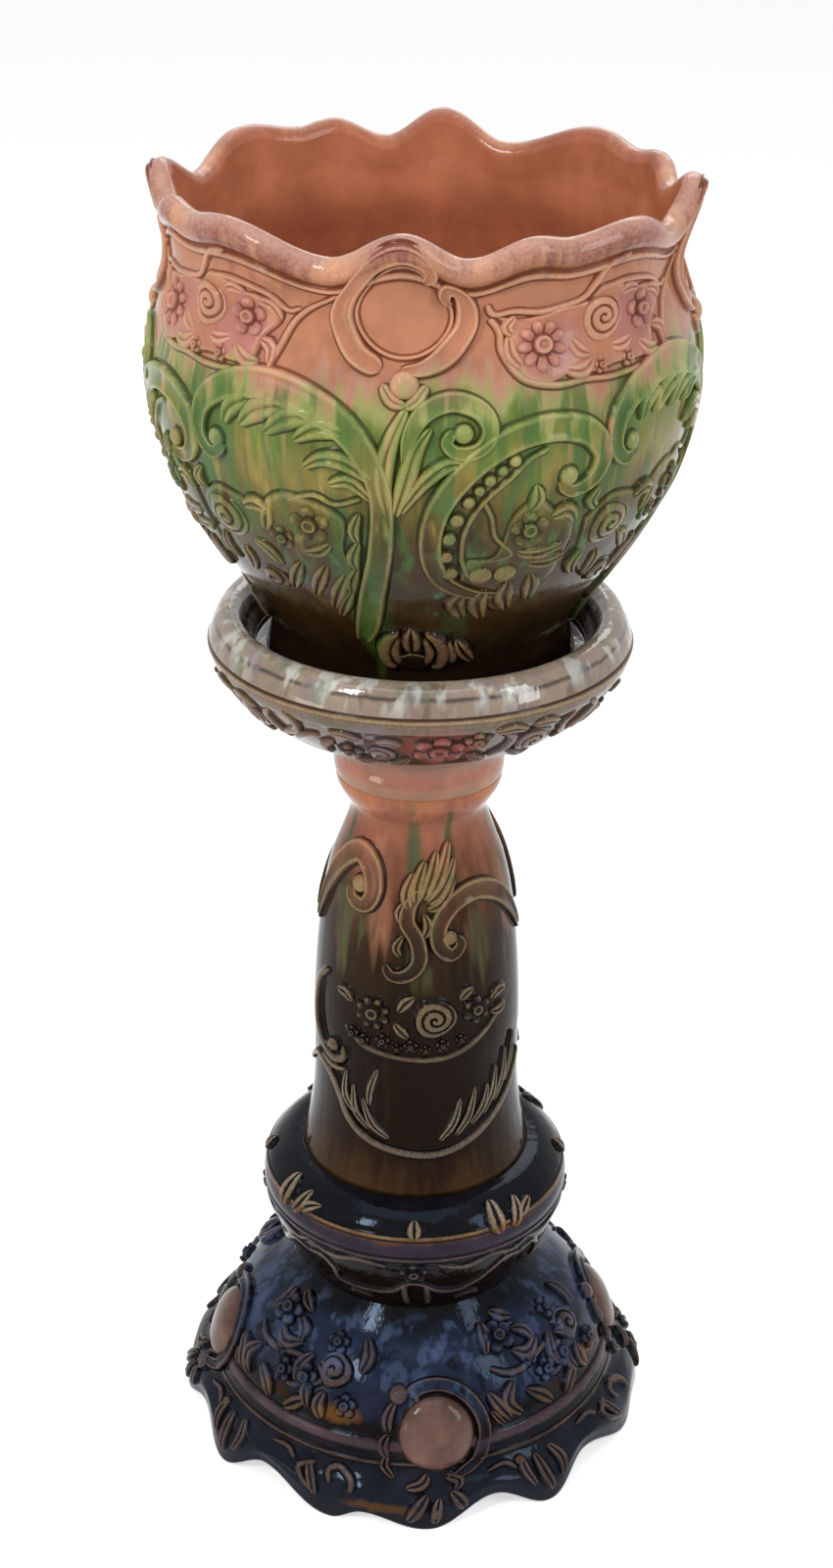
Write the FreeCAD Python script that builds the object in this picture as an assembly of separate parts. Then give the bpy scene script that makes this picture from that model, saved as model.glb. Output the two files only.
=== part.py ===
"""A glazed jardiniere on a tall pedestal: two fired pieces with applied relief.

Millimetres, +Z up. The origin is on the floor, on the axis, under the foot.
Azimuth is in degrees round the axis: 0 is the front (-Y), 90 the right side (+X).
The pedestal is cast in four hollow sections (foot, collar, column, top dish) that are
luted one on another. The jardiniere stands loose in the well of the top dish.
Every relief ornament is a sprig: a separate piece that seats face to face on its wall.
"""
import FreeCAD, Part
import math
import os

V = FreeCAD.Vector
UP = V(0, 0, 1)
AXIS = V(0, 0, 0)

# ---------------------------------------------------------------- driving dimensions
pedestal_wall = 8.0
bowl_wall = 7.0
seat_gap = 0.3               # between the jardiniere's foot ring and the dish floor

foot_height = 115.0
foot_radius = 156.5
foot_bead_radius = 134.5     # the ring that parts the dome from the lobed skirt
foot_bead_height = 35.0
foot_bead_width = 12.0
foot_bead_lip = 3.5          # the ring's top lies this far inside its lower edge
dome_bulge = 7.5
ring_bulge = 4.0
skirt_bulge = 5.5
joint_radius = 75.0          # foot to collar
foot_arch_azimuths = (-13.0, 21.0, 50.0)
foot_arch_spans = (34.0, 50.0, 52.0)
foot_arch_rises = (10.0, 15.0, 16.0)

collar_height = 87.0
collar_radius = 100.0
collar_band_height = 53.0    # up from the collar's lower edge
collar_band_width = 16.0
collar_band_lip = 2.2
collar_shoulder_bulge = 4.5
collar_cup_bulge = 3.6

column_height = 272.0
column_base_radius = 74.5
column_radius = 66.0
column_waist_radius = 42.3
column_top_radius = 51.5

dish_height = 106.0
dish_radius = 126.5
dish_edge_radius = 98.0
dish_edge_height = 47.5
dish_floor_height = 81.7
dish_flank_height = 86.0
dish_neck_radius = 51.0
dish_well_radius = 97.0
dish_lip_radius = 104.0
dish_lip_depth = 7.0         # from the rim's crown down into the well
dish_under_height = 33.0
dish_under_flare = 11.0      # from the neck out to the raking underside
dish_neck_height = 16.0
dish_bulges = (1.6, 4.0, 2.2)  # the well's edge, the rolled rim, the raking flank
dish_neck_cove = 2.9
dish_foot_flare = 2.0
well_shoulder = 17.6         # how far the hollow stays inside the rolled rim

bowl_height = 284.0
bowl_foot_radius = 92.0
bowl_belly_radius = 155.0
bowl_neck_radius = 143.4
bowl_lip_radius = 153.0
bowl_foot_recess = 4.0
rim_overhang = 1.1           # how far the lip's roll stands out on both sides of the wall
rim_azimuths = (-20.5, -4.0, 9.5, 23.0, 31.5, 46.0, 60.0)
rim_drops = (16.0, 0.0, 14.5, 4.0, 7.0, 2.0, 10.0)

medallion_place = (-4.0, 244.0)    # azimuth, height above the bowl's foot
medallion_outer = 36.0
medallion_inner = 24.0
spray_flowers = ((24.5, 225, 14, 6), (39.5, 233, 13, 7), (50.5, 233, 9, 5),
                 (37.5, 209, 4, 4), (46.0, 210, 4.5, 4))      # azimuth, height, radius, rise
bead_row = ((6.0, 104), (4.2, 119), (5.0, 134), (7.0, 147), (10.0, 158), (14.5, 168))
bead_radius = 3.2
bead_rise = 1.6
rose_place = (45.0, 116.0, 13.5)
rose_rise = 6.0
dome_flowers = ((34, 96, 9, 5), (46, 72, 6, 4), (55, 74, 7, 5), (64, 83, 8, 6),
                (70, 66, 6, 4))                               # azimuth, height, radius, rise
dome_leaves = ((31, ((33, 74), (29.5, 65), (34, 55))), (43, ((38, 87), (43, 84), (49, 88))),
               (41, ((37, 66), (42, 60), (45, 52))), (54, ((57, 62), (53, 57), (50, 50))),
               (73, ((72, 99), (74, 92), (73, 83))), (62, ((62, 70), (61, 62), (63, 54))))
foot_boss = (8.0, 56.0, 27.0, 11.0)
low_relief = 2.2
high_relief = 3.4

sectors = 4                  # the ornament of bowl, dish, collar and foot repeats so often
column_faces = 2             # and the column's, front and back

# The sprigs are drawn on walls of these heights, and stretch with a taller or lower wall.
foot_drawing, collar_drawing, column_drawing = 115.0, 87.0, 272.0
dish_drawing, bowl_drawing = 106.0, 284.0

# ------------------------------------------------------------------- heights of joints
collar_base = foot_height
column_base = collar_base + collar_height
dish_base = column_base + column_height
bowl_base = dish_base + dish_floor_height + seat_gap
bowl_top = bowl_base + bowl_height
rim_roll_radius = bowl_wall / 2 + rim_overhang


# ------------------------------------------------------------------------ line drawing
def rz(radius, height):
    """A point of a half section, drawn in the XZ plane."""
    return V(radius, 0, height)


def bow(start, end, bulge):
    """An arc from start to end that swells by bulge to the right of its chord."""
    chord = end - start
    right = V(chord.z, 0, -chord.x).normalize()
    middle = (start + end) * 0.5 + right * bulge
    return Part.Arc(start, middle, end).toShape()


def smooth(points):
    """A smooth curve through the points."""
    curve = Part.BSplineCurve()
    curve.interpolate(points)
    return curve.toShape()


def lines(points):
    return [Part.makeLine(a, b) for a, b in zip(points, points[1:])]


def offset(points, distance):
    """The points moved square to their line, to the right of its run."""
    moved = []
    for i, point in enumerate(points):
        run = points[min(i + 1, len(points) - 1)] - points[max(i - 1, 0)]
        moved.append(point + V(run.z, 0, -run.x).normalize() * distance)
    return moved


def turned(edges):
    """The solid that a closed half section sweeps round the axis."""
    face = Part.Face(Part.Wire(Part.__sortEdges__(edges)))
    return face.revolve(AXIS, UP, 360)


def outward(azimuth):
    a = math.radians(azimuth)
    return V(math.sin(a), -math.cos(a), 0)


def repeated(shape, count):
    """Equal copies of the shape round the axis."""
    copies = []
    for i in range(count):
        copy = shape.copy()
        copy.rotate(AXIS, UP, i * 360.0 / count)
        copies.append(copy)
    return copies


# --------------------------------------------------------------------- walls and relief
class Wall:
    """A turned outer surface that sprigs seat on, given by its edges from top to foot.
    Drawings give heights above its foot, which stretch tells apart from real ones."""

    def __init__(self, edges, foot, stretch):
        self.points = Part.Wire(edges).discretize(Number=160)
        self.foot, self.stretch = foot, stretch
        top, low = self.points[0], self.points[-1]
        self.fill = turned(edges + lines([low, rz(0, low.z), rz(0, top.z), top]))

    def level(self, height):
        return self.foot + height * self.stretch

    def near(self, level):
        return min(range(1, len(self.points) - 1), key=lambda i: abs(self.points[i].z - level))

    def radius(self, level):
        return self.points[self.near(level)].x

    def square(self, i):
        """The unit vector square to the outline at its point i, away from the axis."""
        run = self.points[i + 1] - self.points[i - 1]
        return V(-run.z, 0, run.x).normalize()

    def raised(self, low, high, relief):
        """A skin on the wall, between two heights: relief outside it and as much inside."""
        steps = 7
        outer, inner = [], []
        for i in range(steps):
            k = self.near(self.level(high + (low - high) * i / (steps - 1)))
            outer.append(self.points[k] + self.square(k) * relief)
            inner.append(self.points[k] - self.square(k) * relief)
        ends = lines([outer[0], inner[0]]) + lines([inner[-1], outer[-1]])
        return turned([smooth(outer), smooth(inner)] + ends)

    def seat(self, pattern, low, high, relief):
        """A pattern of prisms, cut down between two heights to a sprig that lies on the wall."""
        return pattern.common(self.raised(low, high, relief)).cut(self.fill)

    def boss(self, azimuth, height, radius, rise):
        """A domed boss: the cap of a ball that stands proud of the wall. The ball is turned
        about a level axis, so that its poles and its seam lie clear of the cap."""
        ball = (radius * radius + rise * rise) / (2 * rise)
        i = self.near(self.level(height))
        square = outward(azimuth) * self.square(i).x + UP * self.square(i).z
        spot = outward(azimuth) * self.points[i].x + UP * self.points[i].z
        centre = spot - square * (ball - rise)
        level = outward(azimuth + 90)
        poles = (centre + level * ball, centre - level * ball)
        half = [Part.Arc(poles[0], centre - square * ball, poles[1]).toShape(),
                Part.makeLine(poles[1], poles[0])]
        return Part.Face(Part.Wire(half)).revolve(centre, level, 360).cut(self.fill)


def flat(wall, centre, places):
    """Places (azimuth, height) on the wall, as seen square on from azimuth centre."""
    points = []
    for azimuth, height in places:
        level = wall.level(height)
        points.append(V(wall.radius(level) * math.sin(math.radians(azimuth - centre)), 0, level))
    return points


def prism(wall, centre, edges):
    """A drawn outline pushed out through the wall at azimuth centre."""
    face = Part.Face(Part.Wire(edges))
    start = 0.4 * joint_radius
    face.rotate(AXIS, UP, centre)
    face.translate(outward(centre) * start)
    return face.extrude(outward(centre) * 2 * bowl_belly_radius)


def strap(wall, centre, places, widths):
    """A strap of changing width along a smooth line, with rounded ends."""
    spine = flat(wall, centre, places)
    left, right = [], []
    for i, point in enumerate(spine):
        run = (spine[min(i + 1, len(spine) - 1)] - spine[max(i - 1, 0)]).normalize()
        half = V(-run.z, 0, run.x) * widths[i] * 0.5
        left.append(point + half)
        right.append(point - half)
    head = spine[0] + (spine[0] - spine[1]).normalize() * widths[0] * 0.5
    tail = spine[-1] + (spine[-1] - spine[-2]).normalize() * widths[-1] * 0.5
    curve = Part.BSplineCurve()
    curve.interpolate(left + [tail] + right[::-1] + [head], PeriodicFlag=True)
    return prism(wall, centre, [curve.toShape()])


def disc(wall, azimuth, height, radius):
    ring = Part.makeCircle(radius, rz(0, wall.level(height)), V(0, 1, 0))
    return prism(wall, azimuth, [ring])


def joined(shapes):
    whole = shapes[0]
    if len(shapes) > 1:
        whole = whole.multiFuse(shapes[1:])
    return whole


# ------------------------------------------------------------------------ the pedestal
def foot_edges():
    top = rz(joint_radius, foot_height)
    ring_top = rz(foot_bead_radius - foot_bead_lip, foot_bead_height + foot_bead_width)
    ring_foot = rz(foot_bead_radius, foot_bead_height)
    floor = rz(foot_radius, 0)
    return [bow(top, ring_top, -dome_bulge), bow(ring_top, ring_foot, -ring_bulge),
            bow(ring_foot, floor, -skirt_bulge)]


def make_foot(wall):
    """A hollow dome on a lobed skirt: arches between the lobes clear the floor."""
    top = rz(joint_radius - pedestal_wall, foot_height)
    middle = rz(foot_bead_radius - pedestal_wall, foot_bead_height)
    floor = rz(foot_radius - pedestal_wall, 0)
    hollow = [bow(top, middle, -dome_bulge), bow(middle, floor, -skirt_bulge)]
    close = lines([floor, rz(0, 0), rz(0, foot_height), top])
    shell = wall.fill.cut(turned(hollow + close))
    reach = 2.5 * pedestal_wall
    arches = []
    for azimuth, span, rise in zip(foot_arch_azimuths, foot_arch_spans, foot_arch_rises):
        radius = span * span / (8 * rise) + rise / 2
        start = outward(azimuth) * (foot_radius - reach) + UP * (rise - radius)
        arches += repeated(Part.makeCylinder(radius, 2 * reach, start, outward(azimuth)), sectors)
    return shell.cut(joined(arches))


def collar_edges():
    band_low = collar_base + collar_band_height
    band_high = band_low + collar_band_width
    top = rz(column_base_radius, column_base)
    high = rz(collar_radius, band_high)
    low = rz(collar_radius, band_low)
    return [bow(top, high, -collar_shoulder_bulge), bow(high, low, -collar_band_lip),
            bow(low, rz(joint_radius, collar_base), -collar_cup_bulge)]


def make_collar(wall):
    """The bulbous knop between foot and column, hollow and open at both ends."""
    top = rz(column_base_radius - pedestal_wall, column_base)
    middle = rz(collar_radius - pedestal_wall,
                collar_base + collar_band_height + collar_band_width / 4)
    foot = rz(joint_radius - pedestal_wall, collar_base)
    hollow = [bow(top, middle, -collar_shoulder_bulge), bow(middle, foot, -collar_cup_bulge)]
    close = lines([foot, rz(0, collar_base), rz(0, column_base), top])
    return wall.fill.cut(turned(hollow + close))


def column_points():
    """The column's outline as shares of its height: waisted above, flared below."""
    shape = [(column_top_radius, 1.0), (column_waist_radius + 4.7, 0.946),
             (column_waist_radius, 0.908), (column_waist_radius + 2.0, 0.872),
             (column_radius - 11.0, 0.75), (column_radius - 3.0, 0.552),
             (column_radius, 0.379), (column_radius - 0.2, 0.232),
             (column_radius + 2.5, 0.096), (column_base_radius, 0.0)]
    return [rz(radius, column_base + share * column_height) for radius, share in shape]


def make_column(wall):
    inner = offset(column_points(), pedestal_wall)
    inner[0].z = dish_base
    inner[-1].z = column_base
    close = lines([inner[-1], rz(0, column_base), rz(0, dish_base), inner[0]])
    return wall.fill.cut(turned([smooth(inner)] + close))


def dish_edges():
    lip = rz(dish_lip_radius, dish_base + dish_height - dish_lip_depth)
    crown = rz((dish_lip_radius + dish_radius) / 2 - 2, dish_base + dish_height)
    flank = rz(dish_radius, dish_base + dish_flank_height)
    edge = rz(dish_edge_radius, dish_base + dish_edge_height)
    under = rz(dish_neck_radius + dish_under_flare, dish_base + dish_under_height)
    neck = rz(dish_neck_radius, dish_base + dish_neck_height)
    foot = rz(column_top_radius, dish_base)
    points = (lip, crown, flank, edge)
    upper = [bow(a, b, -bulge) for a, b, bulge in zip(points, points[1:], dish_bulges)]
    return upper + [Part.makeLine(edge, under), bow(under, neck, dish_neck_cove),
                    bow(neck, foot, -dish_foot_flare)]


def make_dish(wall):
    """A shallow dish with a rolled rim: its well holds the jardiniere's foot ring."""
    floor = dish_base + dish_floor_height
    lip = dish_base + dish_height - dish_lip_depth
    well = turned(lines([rz(0, floor), rz(dish_well_radius, floor), rz(dish_lip_radius, lip),
                         rz(0, lip), rz(0, floor)]))
    under = floor - pedestal_wall
    neck = dish_neck_radius - pedestal_wall
    hollow = lines([rz(0, under), rz(dish_radius - well_shoulder, under),
                    rz(dish_edge_radius - pedestal_wall, dish_base + dish_edge_height + pedestal_wall),
                    rz(neck + dish_under_flare, dish_base + dish_under_height + pedestal_wall),
                    rz(neck, dish_base + dish_neck_height + pedestal_wall / 2),
                    rz(neck, dish_base), rz(0, dish_base), rz(0, under)])
    return wall.fill.cut(well).cut(turned(hollow))


# ---------------------------------------------------------------------- the jardiniere
def bowl_points():
    """Rim to foot: flared lip, drawn-in neck, full belly, tapered base, foot ring."""
    shape = [(bowl_lip_radius, 284), (bowl_neck_radius + 3.4, 257), (bowl_neck_radius, 232),
             (bowl_neck_radius + 5.6, 212), (bowl_belly_radius - 2.0, 189),
             (bowl_belly_radius, 168), (bowl_belly_radius - 6.0, 135),
             (bowl_belly_radius - 20.5, 99), (bowl_foot_radius + 20.0, 61.5),
             (bowl_foot_radius + 0.5, 31), (bowl_foot_radius - 4.0, 18),
             (bowl_foot_radius - 1.5, 6), (bowl_foot_radius, 0)]
    scale = bowl_height / bowl_drawing
    return [rz(radius, bowl_base + height * scale) for radius, height in shape]


def rim_line():
    """The lip's wavy line: its drop below the bowl's top changes round the rim."""
    points = []
    for i in range(sectors):
        for azimuth, drop in zip(rim_azimuths, rim_drops):
            height = bowl_top - rim_roll_radius - drop
            radius = bowl_outside.radius(height) - bowl_wall / 2
            points.append(outward(azimuth + i * 360.0 / sectors) * radius + UP * height)
    curve = Part.BSplineCurve()
    curve.interpolate(points, PeriodicFlag=True)
    highest = max(point.z for point in curve.discretize(Number=40 * sectors))
    curve.translate(UP * (bowl_top - rim_roll_radius - highest))
    return curve


def spread(curve, factor):
    """The edge of a curve drawn nearer to the axis or further from it, height for height."""
    wider = curve.copy()
    for i, pole in enumerate(curve.getPoles()):
        wider.setPole(i + 1, V(pole.x * factor, pole.y * factor, pole.z))
    return wider.toShape()


def make_rim_roll():
    """The lip's thick roll, swept over one sector and repeated."""
    curve = rim_line()
    spine = curve.toShape(curve.FirstParameter, curve.LastParameter / sectors)
    ring = Part.makeCircle(rim_roll_radius, spine.valueAt(spine.FirstParameter),
                           spine.tangentAt(spine.FirstParameter))
    sector = Part.Wire([spine]).makePipeShell([Part.Wire([ring])], True, False)
    return repeated(sector, sectors)


def make_bowl(wall):
    """A turned hollow body, cut along the wavy lip line and finished by a thick roll."""
    inner = offset(bowl_points()[:-3], bowl_wall)
    inner[0].z = bowl_top
    floor = bowl_base + bowl_foot_recess + bowl_wall
    corner = rz(bowl_foot_radius - 4.0 - bowl_wall, floor)
    hollow = turned([smooth(inner + [corner])]
                    + lines([corner, rz(0, floor), rz(0, bowl_top), inner[0]]))
    recess = Part.makeCylinder(bowl_foot_radius - 2 * bowl_wall, bowl_foot_recess,
                               UP * bowl_base)
    body = wall.fill.cut(hollow).cut(recess)
    wave = Part.makeRuledSurface(spread(rim_line(), 0.8), spread(rim_line(), 1.2))
    body = body.cut(wave.extrude(UP * 3 * max(rim_drops)))
    return body.multiFuse(make_rim_roll())


# ---------------------------------------------------------------- sprigs of the bowl
def medallion_ring(wall):
    """A C-shaped ring round a plain roundel, hooked at its open end, with a ball below."""
    middle, height = medallion_place
    ring = disc(wall, middle, height, medallion_outer).cut(
        disc(wall, middle, height, medallion_inner))
    gap = strap(wall, middle, [(middle + 3.5, height + 19), (middle + 7, height + 28),
                               (middle + 9, height + 44)], [13, 13, 13])
    hook = strap(wall, middle, [(middle + 14.0, height - 2), (middle + 13.5, height + 11),
                                (middle + 10.0, height + 17), (middle + 7.0, height + 11),
                                (middle + 8.5, height + 5)], [9, 8, 6, 6, 7])
    pattern = joined([ring.cut(gap), hook])
    sprig = wall.seat(pattern, height - medallion_outer - 4, height + medallion_outer + 4,
                      high_relief)
    ball = wall.boss(middle + 0.5, height - 36, 7, 6)
    return sprig.fuse(ball).cut(make_rim_roll()[0])


def flower_spray(wall):
    """A daisy, a rose and a small flower on a leafy band under the lip."""
    band = strap(wall, 37, [(18, 217), (26, 214), (35, 218), (44, 221), (52, 217), (58, 227)],
                 [12, 16, 20, 22, 18, 8])
    ribbon = strap(wall, 37, [(15, 247), (23, 241), (31, 245), (36, 254), (40, 263)],
                   [4, 3.5, 4, 5, 4])
    sprig = wall.seat(joined([band, ribbon]), 201, 268, low_relief)
    flowers = [wall.boss(azimuth, height, radius, rise)
               for azimuth, height, radius, rise in spray_flowers]
    return joined([sprig] + flowers)


def acanthus_scroll(wall):
    """A stem that rises from the foot, arches over to the left and ends in a curl."""
    stem = strap(wall, -12, [(-16, 57), (-12.5, 80), (-8.5, 114), (-9.5, 149), (-14, 172)],
                 [10, 14, 13, 13, 12])
    arch = strap(wall, -28, [(-11.5, 160), (-20, 185), (-31, 194), (-42, 190), (-48, 176),
                             (-48.5, 162), (-45, 157)], [11, 14, 17, 15, 11, 9, 8])
    lobes = [strap(wall, -28, [(azimuth, height), (azimuth - 4, height - 9)], [13, 7])
             for azimuth, height in ((-23, 179), (-31, 182), (-39, 180))]
    pattern = joined([stem, arch] + lobes)
    sprig = wall.seat(pattern, 44, 212, high_relief)
    return sprig.fuse(wall.boss(-43.5, 163, 8, 7))


def leaf_curl(wall):
    """An upright leaf of three tips, with a small scroll curled beside it."""
    tips = [strap(wall, 1, places, [9, 8, 5])
            for places in ([(-5.0, 152), (-6.5, 166), (-6.0, 182)],
                           [(-4.5, 152), (-2.5, 172), (-2.0, 192)])]
    curl = strap(wall, 1, [(-2, 166), (-0.5, 187), (5.5, 196), (11.0, 189), (10.5, 177),
                           (6.5, 176)], [7, 7, 7, 7, 7, 8])
    return wall.seat(joined(tips + [curl]), 144, 204, low_relief)


def beaded_scroll(wall):
    """A broad C-scroll that opens downwards, with a row of beads along it."""
    scroll = strap(wall, 20, [(15, 85), (8, 94), (4.0, 116), (5.5, 141), (11, 162),
                              (20, 176), (29, 179), (36, 170), (37, 156), (33.5, 148)],
                   [6, 8, 11, 12, 13, 14, 13, 11, 9, 9])
    sprig = wall.seat(scroll, 80, 192, high_relief)
    beads = [wall.boss(azimuth, height, bead_radius, high_relief + bead_rise)
             for azimuth, height in bead_row]
    return joined([sprig, wall.boss(33, 152, 7, 6)] + beads)


def lower_spray(wall):
    """A flower among leaves and two round fruits, low on the belly."""
    leaves = [strap(wall, 22, places, widths) for places, widths in (
        ([(19, 120), (23, 134), (27, 141)], [11, 14, 5]),
        ([(26, 116), (31, 126), (36, 128)], [12, 10, 4]),
        ([(24, 108), (25, 89), (23, 72)], [16, 14, 6]),
        ([(18, 77), (15, 70), (18, 61)], [12, 12, 6]))]
    sprig = wall.seat(joined(leaves), 56, 148, low_relief)
    rounds = [wall.boss(22.5, 116, 9, 6), wall.boss(14.5, 100, 6, 5),
              wall.boss(20, 100, 6, 5)]
    return joined([sprig] + rounds)


def belly_rose(wall):
    """A full-blown rose: three turned tiers under a round heart."""
    azimuth, height, radius = rose_place
    tiers = [wall.boss(azimuth, height, radius, rose_rise),
             wall.boss(azimuth, height, 0.62 * radius, rose_rise + 1.6),
             wall.boss(azimuth, height, 0.3 * radius, rose_rise + 3.2)]
    return joined(tiers)


def foot_rosette(wall):
    """A palmette of four lobes that opens upwards from the foot."""
    lobes = [strap(wall, 1, places, [10, 13, 8]) for places in (
        [(-9, 24), (-8, 34), (-6.5, 44)], [(-2.5, 24), (-2.5, 36), (-2.5, 50)],
        [(4, 24), (4, 34), (3, 46)], [(11, 25), (10.5, 32), (8.5, 41)])]
    return wall.seat(joined(lobes), 20, 60, high_relief)


# ------------------------------------------------------------- sprigs of the pedestal
def dish_spray(wall):
    """A shell flower, a rose and curled leaves on the dish's raking side."""
    leaves = [strap(wall, 0, places, widths) for places, widths in (
        ([(-34, 79), (-31, 71), (-33, 63), (-39, 57)], [6, 8, 7, 4]),
        ([(-20, 55), (-13, 63), (-6, 58)], [5, 8, 5]),
        ([(20, 77), (24, 70), (29, 72)], [5, 9, 6]))]
    sprigs = [wall.seat(leaf, 50, 84, low_relief) for leaf in leaves]
    flowers = [wall.boss(7, 65, 14, 5), wall.boss(34, 63, 9, 5), wall.boss(-12, 74, 4, 3)]
    return joined(sprigs + flowers)


def scroll_frame(wall):
    """Two volutes above and a broken frame below: the column's cartouche."""
    strokes = (
        (-45, [(-63, 194), (-63, 213), (-52, 227), (-38, 225), (-29, 211), (-34, 200),
               (-42, 203)], [7, 9, 11, 12, 11, 9, 8]),
        (40, [(23, 177), (20, 170), (14, 172), (12, 188), (20, 202), (34, 208), (48, 206),
              (60, 198), (69, 185)], [6, 6, 6, 8, 10, 11, 11, 10, 7]),
        (-52, [(-55, 139), (-62, 128), (-65, 108), (-60, 91), (-50, 86), (-41, 92)],
         [8, 6, 6, 6, 6, 5]),
        (-45, [(-70, 79), (-55, 73), (-46, 64), (-40, 50), (-29, 40)], [4, 4, 4, 4, 4]),
        (14, [(-24, 37), (-8, 32), (8, 30), (24, 33), (40, 41), (54, 52)],
         [5, 5, 5, 5, 5, 4]))
    sprigs = []
    for centre, places, widths in strokes:
        heights = [height for azimuth, height in places]
        sprigs.append(wall.seat(strap(wall, centre, places, widths), min(heights) - 10,
                                max(heights) + 10, high_relief))
    return Part.makeCompound(sprigs)


def leaf_plume(wall):
    """An S-shaped stem that ends in a plume of four leaf tips."""
    stem = strap(wall, 2, [(-10, 161), (1, 169), (0, 182), (-6, 195), (-1, 207)],
                 [8, 9, 8, 8, 10])
    tips = [strap(wall, 2, places, [9, 8, 4]) for places in (
        [(-3, 204), (-5, 213), (-2, 224)], [(3, 205), (4, 218), (8, 232)],
        [(3, 204), (10, 218), (16, 236)], [(4, 202), (13, 213), (23, 228)])]
    return wall.seat(joined([stem] + tips), 152, 242, high_relief)


def garland(wall):
    """A swag across the column: daisy, rose and small flower on a leafy band."""
    band = strap(wall, 8, [(-31, 120), (-20, 113), (-5, 109), (10, 108), (25, 109), (40, 114),
                           (52, 119)], [8, 13, 14, 14, 14, 11, 5])
    sprig = wall.seat(band, 98, 130, low_relief)
    flowers = [wall.boss(-23, 127, 11, 5), wall.boss(8, 130, 12, 7), wall.boss(35, 127, 8, 4),
               wall.boss(-3, 115, 4, 4), wall.boss(21, 114, 4, 4)]
    return joined([sprig] + flowers)


def frond_row(wall):
    """Leaf fingers that rise from the cartouche's lower right."""
    fingers = [strap(wall, 38, places, [5, 9, 4]) for places in (
        [(15, 39), (21, 47), (25, 60)], [(27, 44), (31, 55), (35, 68)],
        [(38, 49), (41, 56), (44, 66)], [(45, 53), (50, 64), (53, 78)],
        [(54, 62), (58, 75), (62, 92)])]
    return wall.seat(joined(fingers), 32, 98, high_relief)


def collar_leaf(wall):
    """A leaf on the shoulder and three pointed lobes on the tapered cup."""
    shoulder = wall.seat(strap(wall, 36, [(43, 84), (37, 80), (31, 82), (30, 75)],
                               [7, 9, 8, 5]), 69, 83, low_relief)
    lobes = [wall.seat(strap(wall, azimuth, [(azimuth, 47), (azimuth, 27), (azimuth, 6)],
                             widths), 3, 52, low_relief)
             for azimuth, widths in ((0, [10, 24, 9]), (30, [6, 16, 6]), (-30, [6, 16, 6]))]
    return Part.makeCompound([shoulder] + lobes)


def foot_medallion(wall):
    """A smooth round boss that crosses the bead ring."""
    return wall.boss(*foot_boss)


def medallion_frame(wall):
    """A C-scroll round the boss, with a ball at its open end."""
    right = strap(wall, 8, [(-3, 76), (4, 87), (14, 84), (22, 70), (24.5, 52), (20, 35), (13, 27)],
                  [7, 8, 8, 8, 8, 8, 7])
    left = strap(wall, 8, [(-8, 74), (-11.5, 60), (-10.5, 44), (-4, 31)], [6, 7, 7, 6])
    frame = wall.seat(joined([right, left]), 20, 93, high_relief)
    return frame.cut(foot_medallion(wall))


def foot_shell(wall):
    """A palmette on the front lobe and a curl on each of the two others."""
    lobes = [strap(wall, 5, places, [8, 10, 7]) for places in (
        [(-1.5, 20), (-3.5, 12), (-4.0, 7)], [(5, 21), (5, 12), (5, 6)],
        [(11.5, 20), (13.5, 12), (14, 7)])]
    shell = wall.seat(joined(lobes), 2, 27, low_relief)
    curls = [wall.seat(strap(wall, azimuth, [(azimuth + 3, 30), (azimuth - 2, 20), (azimuth, 9)],
                             [6, 9, 6]), 3, 36, low_relief) for azimuth in (36, 66)]
    return Part.makeCompound([shell] + curls)


def foot_flowers(wall):
    """Flowers and leaves strewn over the dome between the medallions."""
    flowers = [wall.boss(*flower) for flower in dome_flowers]
    leaves = []
    for centre, places in dome_leaves:
        heights = [height for azimuth, height in places]
        leaves.append(wall.seat(strap(wall, centre, places, [4, 10, 4]), min(heights) - 10,
                                max(heights) + 10, high_relief))
    return Part.makeCompound(flowers + leaves)


# ------------------------------------------------------------------------------- build
foot_wall = Wall(foot_edges(), 0, foot_height / foot_drawing)
collar_wall = Wall(collar_edges(), collar_base, collar_height / collar_drawing)
column_wall = Wall([smooth(column_points())], column_base, column_height / column_drawing)
dish_wall = Wall(dish_edges(), dish_base, dish_height / dish_drawing)
bowl_outside = Wall([smooth(bowl_points())], bowl_base, bowl_height / bowl_drawing)

parts = {
    "foot": make_foot(foot_wall),
    "collar": make_collar(collar_wall),
    "column": make_column(column_wall),
    "top_dish": make_dish(dish_wall),
    "bowl": make_bowl(bowl_outside),
}
sprigs = {
    "bowl_medallion_rings": (medallion_ring, bowl_outside, sectors),
    "bowl_flower_sprays": (flower_spray, bowl_outside, sectors),
    "bowl_acanthus_scrolls": (acanthus_scroll, bowl_outside, sectors),
    "bowl_leaf_curls": (leaf_curl, bowl_outside, sectors),
    "bowl_beaded_scrolls": (beaded_scroll, bowl_outside, sectors),
    "bowl_lower_sprays": (lower_spray, bowl_outside, sectors),
    "bowl_roses": (belly_rose, bowl_outside, sectors),
    "bowl_foot_rosettes": (foot_rosette, bowl_outside, sectors),
    "dish_sprays": (dish_spray, dish_wall, sectors),
    "column_scroll_frames": (scroll_frame, column_wall, column_faces),
    "column_leaf_plumes": (leaf_plume, column_wall, column_faces),
    "column_garlands": (garland, column_wall, column_faces),
    "column_fronds": (frond_row, column_wall, column_faces),
    "collar_leaves": (collar_leaf, collar_wall, sectors),
    "foot_medallions": (foot_medallion, foot_wall, sectors),
    "foot_medallion_frames": (medallion_frame, foot_wall, sectors),
    "foot_shells": (foot_shell, foot_wall, sectors),
    "foot_flowers": (foot_flowers, foot_wall, sectors),
}
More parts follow.
